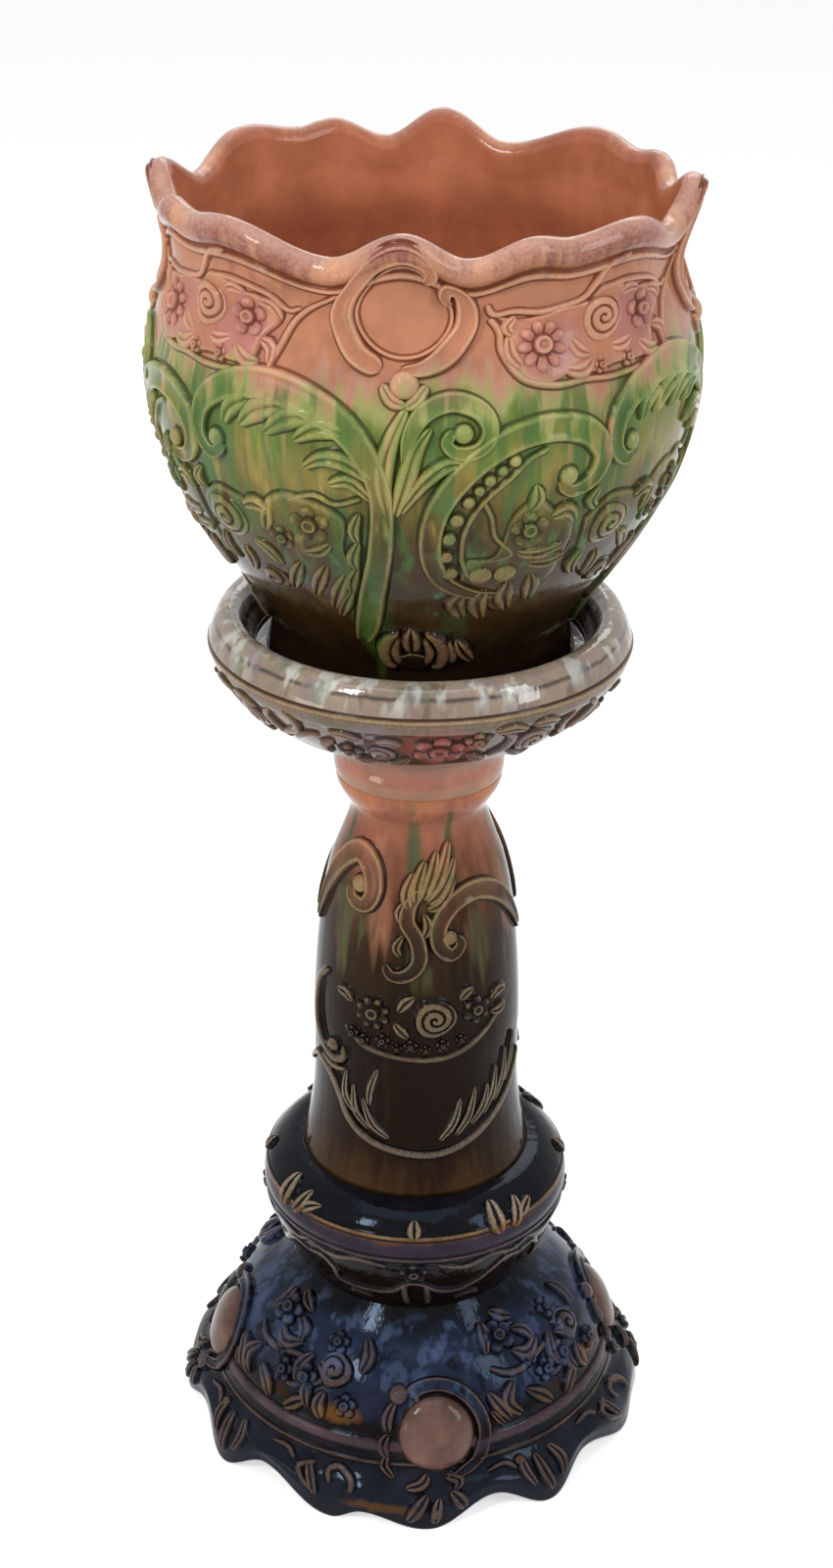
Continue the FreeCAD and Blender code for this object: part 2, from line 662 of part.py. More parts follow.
for name, (make, wall, count) in sprigs.items():
    parts[name] = Part.makeCompound(repeated(make(wall), count))

os.makedirs("parts", exist_ok=True)
for name, shape in parts.items():
    solids = shape.Solids
    print(name, "solids", len(solids), "valid", shape.isValid(), "volume", round(shape.Volume))
    shape.exportStep("parts/" + name + ".step")
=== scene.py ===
"""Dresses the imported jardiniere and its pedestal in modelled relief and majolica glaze.

Drawings are in millimetres and degrees, meshes in metres. Azimuth is counted round the
axis from the front (-Y), positive to the right (+X). Heights are above the floor.
"""
import math

import bpy
import numpy as np
from mathutils import Euler, Matrix, Vector


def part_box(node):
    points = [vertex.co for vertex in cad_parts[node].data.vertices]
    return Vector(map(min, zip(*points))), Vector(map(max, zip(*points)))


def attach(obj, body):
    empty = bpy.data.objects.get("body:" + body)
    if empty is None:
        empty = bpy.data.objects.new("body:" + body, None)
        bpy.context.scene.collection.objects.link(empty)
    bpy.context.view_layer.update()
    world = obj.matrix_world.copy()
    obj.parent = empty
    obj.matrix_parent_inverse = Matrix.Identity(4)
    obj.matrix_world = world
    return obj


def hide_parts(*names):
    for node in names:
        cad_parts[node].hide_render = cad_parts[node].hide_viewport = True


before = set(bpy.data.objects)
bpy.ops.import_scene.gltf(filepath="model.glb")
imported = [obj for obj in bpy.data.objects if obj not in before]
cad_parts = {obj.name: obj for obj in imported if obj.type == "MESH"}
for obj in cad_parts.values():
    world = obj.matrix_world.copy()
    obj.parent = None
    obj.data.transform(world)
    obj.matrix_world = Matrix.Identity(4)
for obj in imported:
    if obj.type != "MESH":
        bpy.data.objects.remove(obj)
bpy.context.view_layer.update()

bl_info = {
    "name": "Jardiniere on Stand Dresser",
    "version": (1, 0, 0),
    "blender": (4, 5, 0),
    "location": "View3D > Sidebar > Jardiniere",
    "description": "Models the relief and the glazes of a jardiniere and its pedestal",
    "category": "Object",
}

MM = 0.001
PEDESTAL, JARDINIERE = "pedestal", "jardiniere"
SECTORS = 4            # the ornament of bowl, dish, collar and foot repeats so often
COLUMN_FACES = 2       # the column's ornament repeats front and back
SEAT_GAP = 0.3         # between the bowl's foot ring and the floor of the dish's well
WALL = 8.0             # thickness of the pedestal's wall
BOWL_WALL = 7.0        # thickness of the bowl's wall
BOWL_BASE, BOWL_TOP = (corner.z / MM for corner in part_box("bowl"))

# Azimuths in a sector at which a wave turns, and there its share of the full drop or rise and
# how far it draws inwards.
LIP_KEYS = (-20.5, -4.0, 9.5, 23.0, 31.5, 46.0)
LIP_DROP = (1, 0, .88, .24, .42, .12)
LIP_PINCH = (9.0, 1.0, 8.0, 3.0, 4.5, 1.0)
LIP_FADE = (62, 4)     # the lip's wave starts and is whole so far under the bowl's top
SKIRT_KEYS = (-20.0, -12.0, 4.0, 21.0, 36.0, 50.0)
SKIRT_RISE = (.06, .53, 0, .94, 0, 1)
SKIRT_DRAW = (2.0, 3.0, 0.5, 7.0, 0.5, 7.5)
SKIRT_FADE = 36.0      # the skirt's wave has faded out at this height


# ------------------------------------------------------------------- sizes and colours
def srgb(red, green, blue):
    """A colour as it is seen, 0 to 255, turned to linear light."""
    c = np.array([red, green, blue]) / 255.0
    linear = np.where(c <= .04045, c / 12.92, ((c + .055) / 1.055) ** 2.4)
    return (*(float(v) for v in linear), 1.0)


def tint(name, description, red, green, blue):
    """A colour property, its default given as it is seen."""
    return bpy.props.FloatVectorProperty(name=name, description=description, subtype="COLOR",
                                         min=0, max=1, default=srgb(red, green, blue)[:3])


def length(name, description, millimetres, low, high):
    """A length property, its default and its limits given in millimetres."""
    return bpy.props.FloatProperty(name=name, description=description, subtype="DISTANCE",
                                   unit="LENGTH", precision=4, default=millimetres * MM,
                                   min=low * MM, max=high * MM)


class JARD_PG_sizes(bpy.types.PropertyGroup):
    """Sizes of the waves and of the relief"""
    lip_drop: length("Lip Wave", "Depth of the wave round the lip", 16.5, 0, 17)
    skirt_rise: length("Skirt Wave", "Rise of the skirt between its lobes", 17, 0, 20)
    # The dark line along the relief's edges is pooled glaze and painted shade.
    pool_shade_width: length("Pooled Line", "Width of the dark line of glaze along the relief",
                       1.5, .5, 3)
    cord_width: length("Lip Cord", "Width of the cord under the lip", 4.2, 1, 7)
    relief: bpy.props.FloatProperty(
        name="Relief", description="Share of its drawn height to which the relief rises",
        subtype="FACTOR", default=1.0, min=.2, max=1.0)


class JARD_PG_colours(bpy.types.PropertyGroup):
    """Colours of the glazes"""
    lip: tint("Lip", "Mauve glaze on the rolled lip", 132, 72, 62)
    neck: tint("Neck", "Peach glaze of the bowl's neck", 182, 122, 92)
    lining: tint("Lining", "Terracotta glaze inside the bowl", 182, 112, 80)
    green: tint("Green", "Green glaze under the neck", 104, 122, 54)
    olive: tint("Olive", "Yellow olive glaze of the bowl's belly", 132, 120, 62)
    belly: tint("Belly", "Brown glaze low on the belly", 62, 44, 20)
    # The rim's colour is lighter than its glaze alone: partly painted reflection of the sky.
    dish: tint("Dish Rim", "Mottled glaze of the dish's rim", 140, 121, 103)
    column: tint("Column", "Pink glaze at the top of the column", 158, 102, 80)
    dark: tint("Dark Brown", "Near-black glaze of the column, collar and foot", 21, 13, 8)
    boss: tint("Boss", "Rosy brown glaze of the foot's bosses", 98, 72, 64)


def sizes():
    return bpy.context.scene.jardiniere_sizes


def hue(name):
    """A colour of the panel, ready for a colour socket."""
    return (*getattr(bpy.context.scene.jardiniere_colours, name), 1.0)


def ready(colour):
    """A colour for a socket: three numbers are a colour as it is seen, four are linear."""
    return colour if len(colour) == 4 else srgb(*colour)


def deeper(colour, share):
    """A linear colour, darkened by a share below 1 or lightened by one above it."""
    return (*(share * value for value in colour[:3]), 1.0)


# --------------------------------------------------------------------------- line drawing
def smooth_line(points, steps):
    """Catmull-Rom line: each span is the cubic whose end slopes follow the chords of its
    neighbouring points."""
    p = np.asarray(points, float)
    p = np.vstack([2 * p[0] - p[1], p, 2 * p[-1] - p[-2]])
    t = np.linspace(0, len(p) - 3, steps)
    i = np.minimum(t.astype(int), len(p) - 4)
    f = (t - i)[:, None]
    a, b, c, d = p[i], p[i + 1], p[i + 2], p[i + 3]
    return 0.5 * (2 * b + (c - a) * f + (2 * a - 5 * b + 4 * c - d) * f ** 2
                  + (3 * b - a - 3 * c + d) * f ** 3)


def round_wave(azimuth, keys, values):
    """A wave that repeats in every sector: half-cosine steps between named azimuths."""
    period = 360.0 / SECTORS
    k = np.array([*keys, keys[0] + period])
    v = np.array([*values, values[0]])
    a = (np.asarray(azimuth, float) - k[0]) % period + k[0]
    i = np.clip(np.searchsorted(k, a, side="right") - 1, 0, len(k) - 2)
    t = (a - k[i]) / (k[i + 1] - k[i])
    return v[i] + (v[i + 1] - v[i]) * (1 - np.cos(np.pi * t)) / 2


def ease(value, low, high):
    """0 below low, 1 above high, a smooth cubic step between."""
    t = np.clip((value - low) / (high - low), 0, 1)
    return t * t * (3 - 2 * t)


def lip_wave(azimuth, radius, height):
    """The lip is pinched down and in between its lobes; the wave fades out down the neck."""
    share = ease(height, *(BOWL_TOP - fade for fade in LIP_FADE))
    drop = sizes().lip_drop / MM * round_wave(azimuth, LIP_KEYS, LIP_DROP)
    pinch = round_wave(azimuth, LIP_KEYS, LIP_PINCH)
    return radius - pinch * share, height - drop * share


def skirt_wave(azimuth, radius, height):
    """The skirt rises and draws in between its twelve pointed lobes."""
    share = 1 - ease(height, 0.0, SKIRT_FADE)
    rise = sizes().skirt_rise / MM * round_wave(azimuth, SKIRT_KEYS, SKIRT_RISE)
    draw = round_wave(azimuth, SKIRT_KEYS, SKIRT_DRAW)
    return radius - draw * share, height + rise * share


def no_wave(azimuth, radius, height):
    return radius, height


class Wall:
    """A turned outer surface, from its top edge down: (radius, height) along a smooth line,
    measured by the length s run from the top, with a wave that bends it near one edge."""

    STEPS = 400                # points of the smooth line
    STEP_DOWN, STEP_ROUND = .3, .15    # millimetres and degrees over which a slope is taken

    def __init__(self, outline, wave=no_wave):
        line = smooth_line(outline, self.STEPS)
        self.s = np.r_[0, np.cumsum(np.hypot(*np.diff(line, axis=0).T))]
        self.r, self.z = line.T
        self.wave = wave

    def reach(self, height):
        """The run from the top edge down to a height."""
        return np.interp(-np.asarray(height, float), -self.z, self.s)

    def radius(self, s):
        return np.interp(s, self.s, self.r)

    def spot(self, azimuth, s):
        """Points on the wall: the outline turned to each azimuth, after the wave."""
        r, z = self.wave(azimuth, self.radius(s), np.interp(s, self.s, self.z))
        a = np.radians(azimuth)
        return np.stack([r * np.sin(a), -r * np.cos(a), z], -1)

    def square(self, azimuth, s):
        """Unit normals: the cross product of the slopes down and round the wall."""
        down, turn = self.STEP_DOWN, self.STEP_ROUND
        down = self.spot(azimuth, s + down) - self.spot(azimuth, s - down)
        across = self.spot(azimuth + turn, s) - self.spot(azimuth - turn, s)
        normal = np.cross(down, across)
        return normal / np.linalg.norm(normal, axis=-1, keepdims=True)

    def raised(self, azimuth, s, lift):
        return self.spot(azimuth, s) + self.square(azimuth, s) * np.asarray(lift)[..., None]


# --------------------------------------------------------------------------- mesh making
def tube_faces(rows, ring, first, closed):
    """Quads of a tube of rows x ring points; an open tube's ends close on two more points."""
    i, k = np.meshgrid(np.arange(rows if closed else rows - 1), np.arange(ring), indexing="ij")
    below, beside = (i + 1) % rows, (k + 1) % ring
    quads = np.stack([i * ring + k, i * ring + beside, below * ring + beside, below * ring + k],
                     -1)
    quads = quads.reshape(-1, 4) + first
    if closed:
        return quads, np.empty((0, 3), int)
    k = np.arange(ring)
    beside = (k + 1) % ring
    start, end = rows * ring, rows * ring + 1
    last = (rows - 1) * ring
    head = np.stack([beside, k, np.full(ring, start)], -1)
    tail = np.stack([last + k, last + beside, np.full(ring, end)], -1)
    return quads, np.vstack([head, tail]) + first


class Heap:
    """Tubes gathered into one mesh, most of them drawn on one wall. A tube is a grid of
    points, closed round its second index, with a pool-and-shade value at each point: 0 thin
    crest with painted highlight, 0.4 plain, 1 pooled glaze with painted shade; and a lining
    value, 1 where the glaze of the inside lies."""

    def __init__(self, wall=None):
        self.wall = wall
        self.tubes = []

    def add(self, points, pool_and_shade, closed=False, lining=0.0):
        self.tubes.append((points, np.stack([pool_and_shade, lining + 0 * pool_and_shade], -1), closed))

    def mesh(self, name, copies):
        """Repeats the tubes round the axis and writes them into one mesh."""
        points, tones, quads, tris, first = [], [], [], [], 0
        for turn in range(copies):
            a = 2 * math.pi * turn / copies
            matrix = np.array([[math.cos(a), math.sin(a), 0], [-math.sin(a), math.cos(a), 0],
                               [0, 0, 1]])
            for grid, value, closed in self.tubes:
                rows, ring = value.shape[:2]
                flat, tone = grid.reshape(-1, 3), value.reshape(-1, 2)
                if not closed:
                    flat = np.vstack([flat, grid[0].mean(0), grid[-1].mean(0)])
                    tone = np.vstack([tone, value[0].mean(0), value[-1].mean(0)])
                q, t = tube_faces(rows, ring, first, closed)
                points.append(flat @ matrix)
                tones.append(tone)
                quads.append(q)
                tris.append(t)
                first += len(flat)
        return write_mesh(name, np.vstack(points) * MM, np.vstack(quads), np.vstack(tris),
                          np.vstack(tones))


def write_mesh(name, points, quads, tris, tones):
    """Writes the arrays into a mesh object; tones has a column for each of its attributes."""
    mesh = bpy.data.meshes.new(name)
    mesh.vertices.add(len(points))
    mesh.vertices.foreach_set("co", points.astype(np.float32).ravel())
    mesh.loops.add(quads.size + tris.size)
    mesh.loops.foreach_set("vertex_index", np.r_[quads.ravel(), tris.ravel()].astype(np.int32))
    mesh.polygons.add(len(quads) + len(tris))
    starts = np.r_[np.arange(len(quads)) * 4, quads.size + np.arange(len(tris)) * 3]
    mesh.polygons.foreach_set("loop_start", starts.astype(np.int32))
    mesh.polygons.foreach_set("use_smooth", np.ones(len(starts), bool))
    for label, column in zip(("pool_and_shade", "lining"), tones.T):
        tone = mesh.attributes.new(label, "FLOAT", "POINT")
        tone.data.foreach_set("value", column.astype(np.float32))
    mesh.update(calc_edges=True)
    mesh.validate()
    piece = bpy.data.objects.new(name, mesh)
    bpy.context.scene.collection.objects.link(piece)
    return piece


def finish_piece(piece, body, material, node):
    """Glazes a piece, lets it ride a body and hides the node it replaces."""
    piece.data.materials.append(material)
    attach(piece, body)
    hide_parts(node)
    return piece


# -------------------------------------------------------------------- strokes of relief
# Half sections of a stroke from its middle to its edge: share of the half width, share of
# the height, pool-and-shade value (low on the crest, painted highlight; high at the edge, pooled
# glaze and painted shade).
ROUND = ((0, 1, .1), (.3, .97, .12), (.55, .86, .18), (.75, .66, .3), (.9, .38, .6), (1, .1, 1))
BAND = ((0, .66, .42), (.3, .69, .4), (.52, .82, .3), (.68, 1, .08), (.8, .95, .05),
        (.9, .7, .35), (.96, .4, .75), (1, .1, 1))
LEAF = ((0, .58, .75), (.07, .72, .45), (.28, .97, .1), (.55, 1, .08), (.8, .76, .25),
        (.93, .42, .65), (1, .08, 1))
SINK = 0.9             # how deep a stroke's closed back lies under the wall's face
# The dark line along an edge, pooled glaze and painted shade where the relief meets the
# wall: share of its width, lift, pool-and-shade value.
FILLET = ((.45, .1, 1), (1, -.12, .9))
FLAT_LIFT = .12        # how far a patch with no height stands off the wall
STROKE_PITCH, FINE_PITCH = 1.9, 1.3    # mean distance between a stroke's cross sections
FEWEST, MOST = 9, 120  # how many cross sections a stroke may have
TIP = .03              # share of its width that a stroke keeps at the ends
THIN_SHARE, BROAD_WIDTH = .45, 14      # height at no width, and the width that adds all of it
# Rings of a daisy from its edge inwards, and its lift and pool-and-shade value (painted
# shade in the dips, painted highlight on the tops): shares of the radius, values.
DAISY_RINGS = (1, .97, .92, .85, .76, .66, .56, .48, .42, .38, .34, .3, .24, .18, .13, .08)
DAISY_LIFT = ((0, .1, .16, .2, .3, .37, .43, .55, .75, .9, .97, 1),
              (.9, .9, .75, 1.15, 1.2, .55, .5, .75, 1, .85, .5, .1))
DAISY_TONE = ((0, .1, .14, .2, .3, .37, .43, .5, .9, .97, 1),
              (.5, .6, .7, .1, .1, .95, .9, .35, .1, .5, 1))
# The same of a pad.
PAD_RINGS = (1, .975, .94, .86, .6, .3, .06)
PAD_LIFT = ((0, .86, .94, .975, 1), (1, 1, .9, .55, .1))
PAD_TONE = ((0, .86, .94, .975, 1), (.38, .34, .12, .5, 1))


def section_ring(section):
    """The closed ring round a stroke: fillet, half section, mirrored, fillet, back.
    Columns: share of half width, added width, share of height, added lift, pooling."""
    pool_shade = sizes().pool_shade_width / MM
    half = [(u, 0, h, 0, p) for u, h, p in section]
    right = half + [(1, share * pool_shade, 0, lift, tone) for share, lift, tone in FILLET]
    left = [(-u, -w, h, lift, p) for u, w, h, lift, p in right[:0:-1]]
    back = [(1, pool_shade, 0, -SINK, 1), (-1, -pool_shade, 0, -SINK, 1)]
    return np.array(left + right + back).T


def stroke(heap, places, height, section, pitch=STROKE_PITCH):
    """A stroke carried along a smooth line on the wall. places are (azimuth, run, width).
    Its ends are rounded: the width falls as the square root of 1 - (1 - d)^2, where d is the
    distance from the end over half the width. Thin strokes stand lower than broad ones."""
    wall = heap.wall
    azimuth, s, width = smooth_line(places, 20 * len(places)).T
    steps = np.hypot(np.radians(np.diff(azimuth)) * wall.radius(s)[1:], np.diff(s))
    run = np.r_[0, np.cumsum(steps)]
    count = int(np.clip(run[-1] / pitch, FEWEST, MOST))
    even = run[-1] * (1 - np.cos(np.linspace(0, np.pi, count))) / 2
    azimuth, s, width = (np.interp(even, run, column) for column in (azimuth, s, width))
    radius = wall.radius(s)
    along_round, along_down = np.gradient(np.radians(azimuth)) * radius, np.gradient(s)
    slope = np.hypot(along_round, along_down) + 1e-9
    side_round, side_down = -along_down / slope, along_round / slope
    near = np.clip(np.minimum(even, run[-1] - even) / (0.5 * width + 0.1), 0, 1)
    cap = np.maximum(np.sqrt(1 - (1 - near) ** 2), TIP)
    share, added, rise, lift, tone = section_ring(section)
    aside = share * (0.5 * width * cap)[:, None] + added
    height = sizes().relief * height * cap * np.minimum(1, THIN_SHARE + width / BROAD_WIDTH)
    up = rise * height[:, None] + lift
    a = azimuth[:, None] + np.degrees(aside * (side_round / radius)[:, None])
    heap.add(wall.raised(a, s[:, None] + aside * side_down[:, None], up),
             np.broadcast_to(tone, up.shape))


def drawn(heap, height, section, *paths):
    """Strokes given as (azimuth, height above the floor, width)."""
    for path in paths:
        stroke(heap, [(a, heap.wall.reach(z), w) for a, z, w in path], height, section)


def sketched(heap, place, height, section, *paths):
    """Strokes given in millimetres right of and above a place (azimuth, height)."""
    s = heap.wall.reach(place[1])
    radius = heap.wall.radius(s)
    for path in paths:
        stroke(heap, [(place[0] + math.degrees(x / radius), s - y, w) for x, y, w in path],
               height, section, FINE_PITCH)


def skin(heap, place, x, y, lift, tone):
    """A closed patch on the wall. x, y, lift and tone are grids of rings from the edge to the
    middle; a skirt of pooled glaze with painted shade and a sunk back are added round the edge."""
    s = heap.wall.reach(place[1])
    reach = np.hypot(x[0], y[0]) + 1e-6
    edge = [(1, -SINK, 1)] + list(FILLET[::-1])
    rims = [1 + share * sizes().pool_shade_width / MM / reach for share, _, _ in edge]
    one = np.ones(len(reach))
    x, y = (np.vstack([grid[0] * rim for rim in rims] + [grid]) for grid in (x, y))
    lift = np.vstack([level * one for _, level, _ in edge] + [FLAT_LIFT + sizes().relief * lift])
    tone = np.vstack([value * one for _, _, value in edge] + [tone])
    a = place[0] + np.degrees(x / heap.wall.radius(s))
    heap.add(heap.wall.raised(a, s - y, lift), tone)


def dome(heap, place, radius, rise, shift=(0, 0), ring=24, rows=9):
    """A round boss: its lift is the rise times the root of 1 - (distance / radius)^2."""
    t = np.linspace(0, .97, rows)[:, None] * np.pi / 2
    phi = np.linspace(0, 2 * np.pi, ring, endpoint=False)
    x, y = radius * np.cos(t) * np.cos(phi), radius * np.cos(t) * np.sin(phi)
    skin(heap, place, shift[0] + x, shift[1] + y, rise * np.sin(t) + 0 * x,
         np.clip(1 - 1.6 * t, .08, 1) + 0 * x)


def daisy(heap, place, radius, petals, height=3.4, heart=.36):
    """A flower in one skin. Its edge runs out and in round the petals with the root of the
    cosine; the lift dips between the petals, in a ring round the heart and in its middle."""
    phi = np.linspace(0, 2 * np.pi, 14 * petals, endpoint=False)
    petal = np.abs(np.cos(petals * phi / 2)) ** .6
    share = np.array(DAISY_RINGS)[:, None]
    outer = np.clip((share - heart) / .2, 0, 1)
    reach = radius * share * (1 - (1 - petal) * .34 * outer)
    gap = (1 - petal) * outer
    skin(heap, place, reach * np.cos(phi + .4), reach * np.sin(phi + .4),
         height * np.interp(share, *DAISY_LIFT) * (1 - .55 * gap),
         np.clip(np.interp(share, *DAISY_TONE) + .9 * gap, 0, 1))


def rose(heap, place, radius, rise=5.0, turns=2.6):
    """A rose in one skin: a low dome with one groove wound round it, which follows the sum of
    the angle and the distance from the middle."""
    phi = np.linspace(0, 2 * np.pi, 96, endpoint=False)
    share = np.linspace(1, .05, 26)[:, None]
    wave = np.cos(2 * np.pi * turns * share - phi)
    groove = np.clip((wave - .35) / .65, 0, 1) ** 1.2
    reach = radius * share * (1 + .05 * np.cos(3 * phi) * share)
    level = np.sqrt(np.clip(1 - .8 * share ** 2, 0, 1))
    level = level * np.interp(share, [0, .96, 1], [1, .8, .15])
    edge = np.interp(share, [0, .93, 1], [0, 0, .9])
    skin(heap, place, reach * np.cos(phi), reach * np.sin(phi),
         rise * level * (1 - .4 * groove), np.clip(.12 + .85 * groove + edge, 0, 1))


def pad(heap, place, outline, height):
    """A low plateau with a closed smooth outline, given in millimetres right of and above
    the place (azimuth, height); flowers and leaves lie on it."""
    outline = np.array(outline, float)
    ring = smooth_line(np.vstack([outline, outline[:1]]), 16 * len(outline))[:-1].T
    share = np.array(PAD_RINGS)[:, None]
    skin(heap, place, share * ring[0], share * ring[1],
         height * np.interp(share, *PAD_LIFT) + 0 * ring[0],
         np.interp(share, *PAD_TONE) + 0 * ring[0])


# Points of a shell's mesh round the axis and, at least, along its outline.
PLAIN_MESH, WAVY_MESH = (400, 200), (440, 210)


def turned_shell(name, outline, grid=PLAIN_MESH, wave=no_wave, poles=True):
    """A closed shell of revolution: each outline point turned to every azimuth, after the
    wave. outline runs so that, seen in the half section, the solid lies to its left; each
    point is (radius, height, pool-and-shade value, lining)."""
    steps, rows = grid
    line = smooth_outline(outline, rows, closed=not poles)
    azimuth = np.linspace(0, 360, steps, endpoint=False)
    r, z = wave(azimuth[None, :], line[:, :1], line[:, 1:2])
    a = np.radians(azimuth)[None, :]
    points = np.stack([r * np.sin(a), -r * np.cos(a), z + 0 * a], -1)
    heap = Heap()
    heap.add(points, line[:, 2:3] + 0 * a, not poles, line[:, 3:4])
    return heap.mesh(name, 1)


def spans(line):
    """Distances between the neighbouring (radius, height) points of a line."""
    return np.hypot(*np.diff(line[:, :2], axis=0).T)


def smooth_outline(pieces, rows, closed):
    """Joins smooth stretches, given as lists of points, into one evenly spaced line.
    The stretches meet in corners."""
    lines = [smooth_line(piece, 60) if len(piece) > 2 else np.linspace(*piece, 12)
             for piece in pieces]
    line = np.vstack(lines)
    line = line[np.r_[True, spans(line) > 1e-6]]
    run = np.r_[0, np.cumsum(spans(line))]
    bends = np.cumsum([0] + [spans(stretch).sum() for stretch in lines])
    even = np.linspace(0, run[-1], rows)
    even = np.unique(np.round(np.r_[even, bends.clip(0, run[-1])], 4))
    if closed:
        even = even[:-1]
    return np.stack([np.interp(even, run, column) for column in line.T], -1)


# ------------------------------------------------------------------------------ materials
class Nodes:
    """Short-hand for building one node tree."""

    def __init__(self, tree):
        self.tree = tree

    def add(self, kind, **values):
        node = self.tree.nodes.new(kind)
        for key, value in values.items():
            setattr(node, key, value)
        return node

    def link(self, source, target):
        self.tree.links.new(source, target)

    def feed(self, socket, value):
        if isinstance(value, bpy.types.NodeSocket):
            self.link(value, socket)
        else:
            socket.default_value = value

    def math(self, operation, *values, clamp=False):
        node = self.add("ShaderNodeMath", operation=operation, use_clamp=clamp)
        for i, value in enumerate(values):
            self.feed(node.inputs[i], value)
        return node.outputs[0]

    def plus(self, a, b):
        return self.math("ADD", a, b)

    def minus(self, a, b):
        return self.math("SUBTRACT", a, b)

    def times(self, *values):
        """The product of two or more values, from the left."""
        product = values[0]
        for value in values[1:]:
            product = self.math("MULTIPLY", product, value)
        return product

    def squared(self, value):
        return self.math("POWER", self.math("ABSOLUTE", value), 2.0)

    def mix(self, factor, a, b, blend="MIX"):
        node = self.add("ShaderNodeMix", data_type="RGBA", blend_type=blend)
        self.feed(node.inputs[0], factor)
        self.feed(node.inputs[6], a)
        self.feed(node.inputs[7], b)
        return node.outputs[2]

    def noise(self, vector, scale, detail):
        node = self.add("ShaderNodeTexNoise")
        self.link(vector, node.inputs["Vector"])
        node.inputs["Scale"].default_value = scale
        node.inputs["Detail"].default_value = detail
        node.inputs["Roughness"].default_value = .55
        return node.outputs["Fac"]

    def ramp(self, value, stops, low, high):
        """A colour ramp over a height range, its stops given as (height, colour)."""
        ramp = self.add("ShaderNodeValToRGB")
        elements = ramp.color_ramp.elements
        while len(elements) < len(stops):
            elements.new(.5)
        for element, (height, colour) in zip(elements, sorted(stops, key=lambda s: s[0])):
            element.position = (height - low) / (high - low)
            element.color = ready(colour)
        spread = self.add("ShaderNodeMapRange")
        self.feed(spread.inputs[0], value)
        spread.inputs[1].default_value = low
        spread.inputs[2].default_value = high
        self.link(spread.outputs[0], ramp.inputs[0])
        return ramp.outputs[0]


def new_group(name, inputs, outputs):
    """An empty shader node group with its sockets and its two end nodes."""
    group = bpy.data.node_groups.new(name, "ShaderNodeTree")
    for label, kind, value in inputs:
        socket = group.interface.new_socket(label, in_out="INPUT", socket_type=kind)
        if value is not None:
            socket.default_value = value
    for label, kind in outputs:
        group.interface.new_socket(label, in_out="OUTPUT", socket_type=kind)
    nodes = Nodes(group)
    return group, nodes, nodes.add("NodeGroupInput"), nodes.add("NodeGroupOutput")


# Scales of the glazes' noises, per metre, and how far they act.
FINE_STREAKS, BROAD_STREAKS, DRIP_STREAKS = 170, 44, 85
STREAK_LENGTH = .07    # the streaks' scale along the axis, as a share of that round it
FINE_SHARE = .38       # share of the fine streaks in a run; the broad ones have the rest
RUN_GAIN = 5.0
DRIP_EDGE = .12        # how much noise it takes from the outside of a drip to its inside
DRIP_TAIL, DRIP_HEAD = 22.0, 16.0      # millimetres over which a drip fades out below and above
CLOUD_SCALE, SPECK_SCALE, WAVE_SCALE = 46, 520, 48
SPECK_DEPTH = .3
# How far the light crests (thin glaze and painted highlight), the dark pools (pooled glaze and
# painted shade) and the patches take over the plain colour.
CREST_HIGHLIGHT_SHARE, POOL_SHADE_SHARE, PATCH_SHARE = .6, .9, .8
CLOUD_GAIN = 3.0
ROUGHNESS, ROUGHNESS_CLOUDS = .03, .12
BUMP_SHARE, BUMP_DEPTH, BUMP_STREAKS = .3, .0014, .45
PATCH_CORE = 1.3


def streaked(n, scale, seed=None):
    """Noise that changes fast round the axis and slowly down it, moved aside by a seed."""
    place = n.add("ShaderNodeTexCoord").outputs["Object"]
    flat = n.add("ShaderNodeVectorMath", operation="MULTIPLY")
    n.link(place, flat.inputs[0])
    flat.inputs[1].default_value = (1, 1, STREAK_LENGTH)
    if seed is not None:
        moved = n.add("ShaderNodeVectorMath", operation="ADD")
        n.link(flat.outputs[0], moved.inputs[0])
        n.link(seed, moved.inputs[1])
        flat = moved
    return n.noise(flat.outputs[0], scale, 2.0)


def smooth_range(n, value, low, high):
    """0 at low, 1 at high, a smooth step between; low may lie above high."""
    step = n.add("ShaderNodeMapRange", interpolation_type="SMOOTHSTEP")
    for socket, source in zip(step.inputs, (value, low, high)):
        n.feed(socket, source)
    return step.outputs[0]


def group_glaze_runs():
    """Group: how far the molten glaze ran down here, in millimetres, and fine streaks."""
    group, n, start, end = new_group(
        "Glaze Runs", [("Depth", "NodeSocketFloat", 20.0)],
        [("Run", "NodeSocketFloat"), ("Streak", "NodeSocketFloat")])
    fine = streaked(n, FINE_STREAKS)
    both = n.plus(n.times(streaked(n, BROAD_STREAKS), 1 - FINE_SHARE), n.times(fine, FINE_SHARE))
    run = n.times(n.minus(both, .5), RUN_GAIN, start.outputs["Depth"])
    n.link(run, end.inputs["Run"])
    n.link(fine, end.inputs["Streak"])
    return group


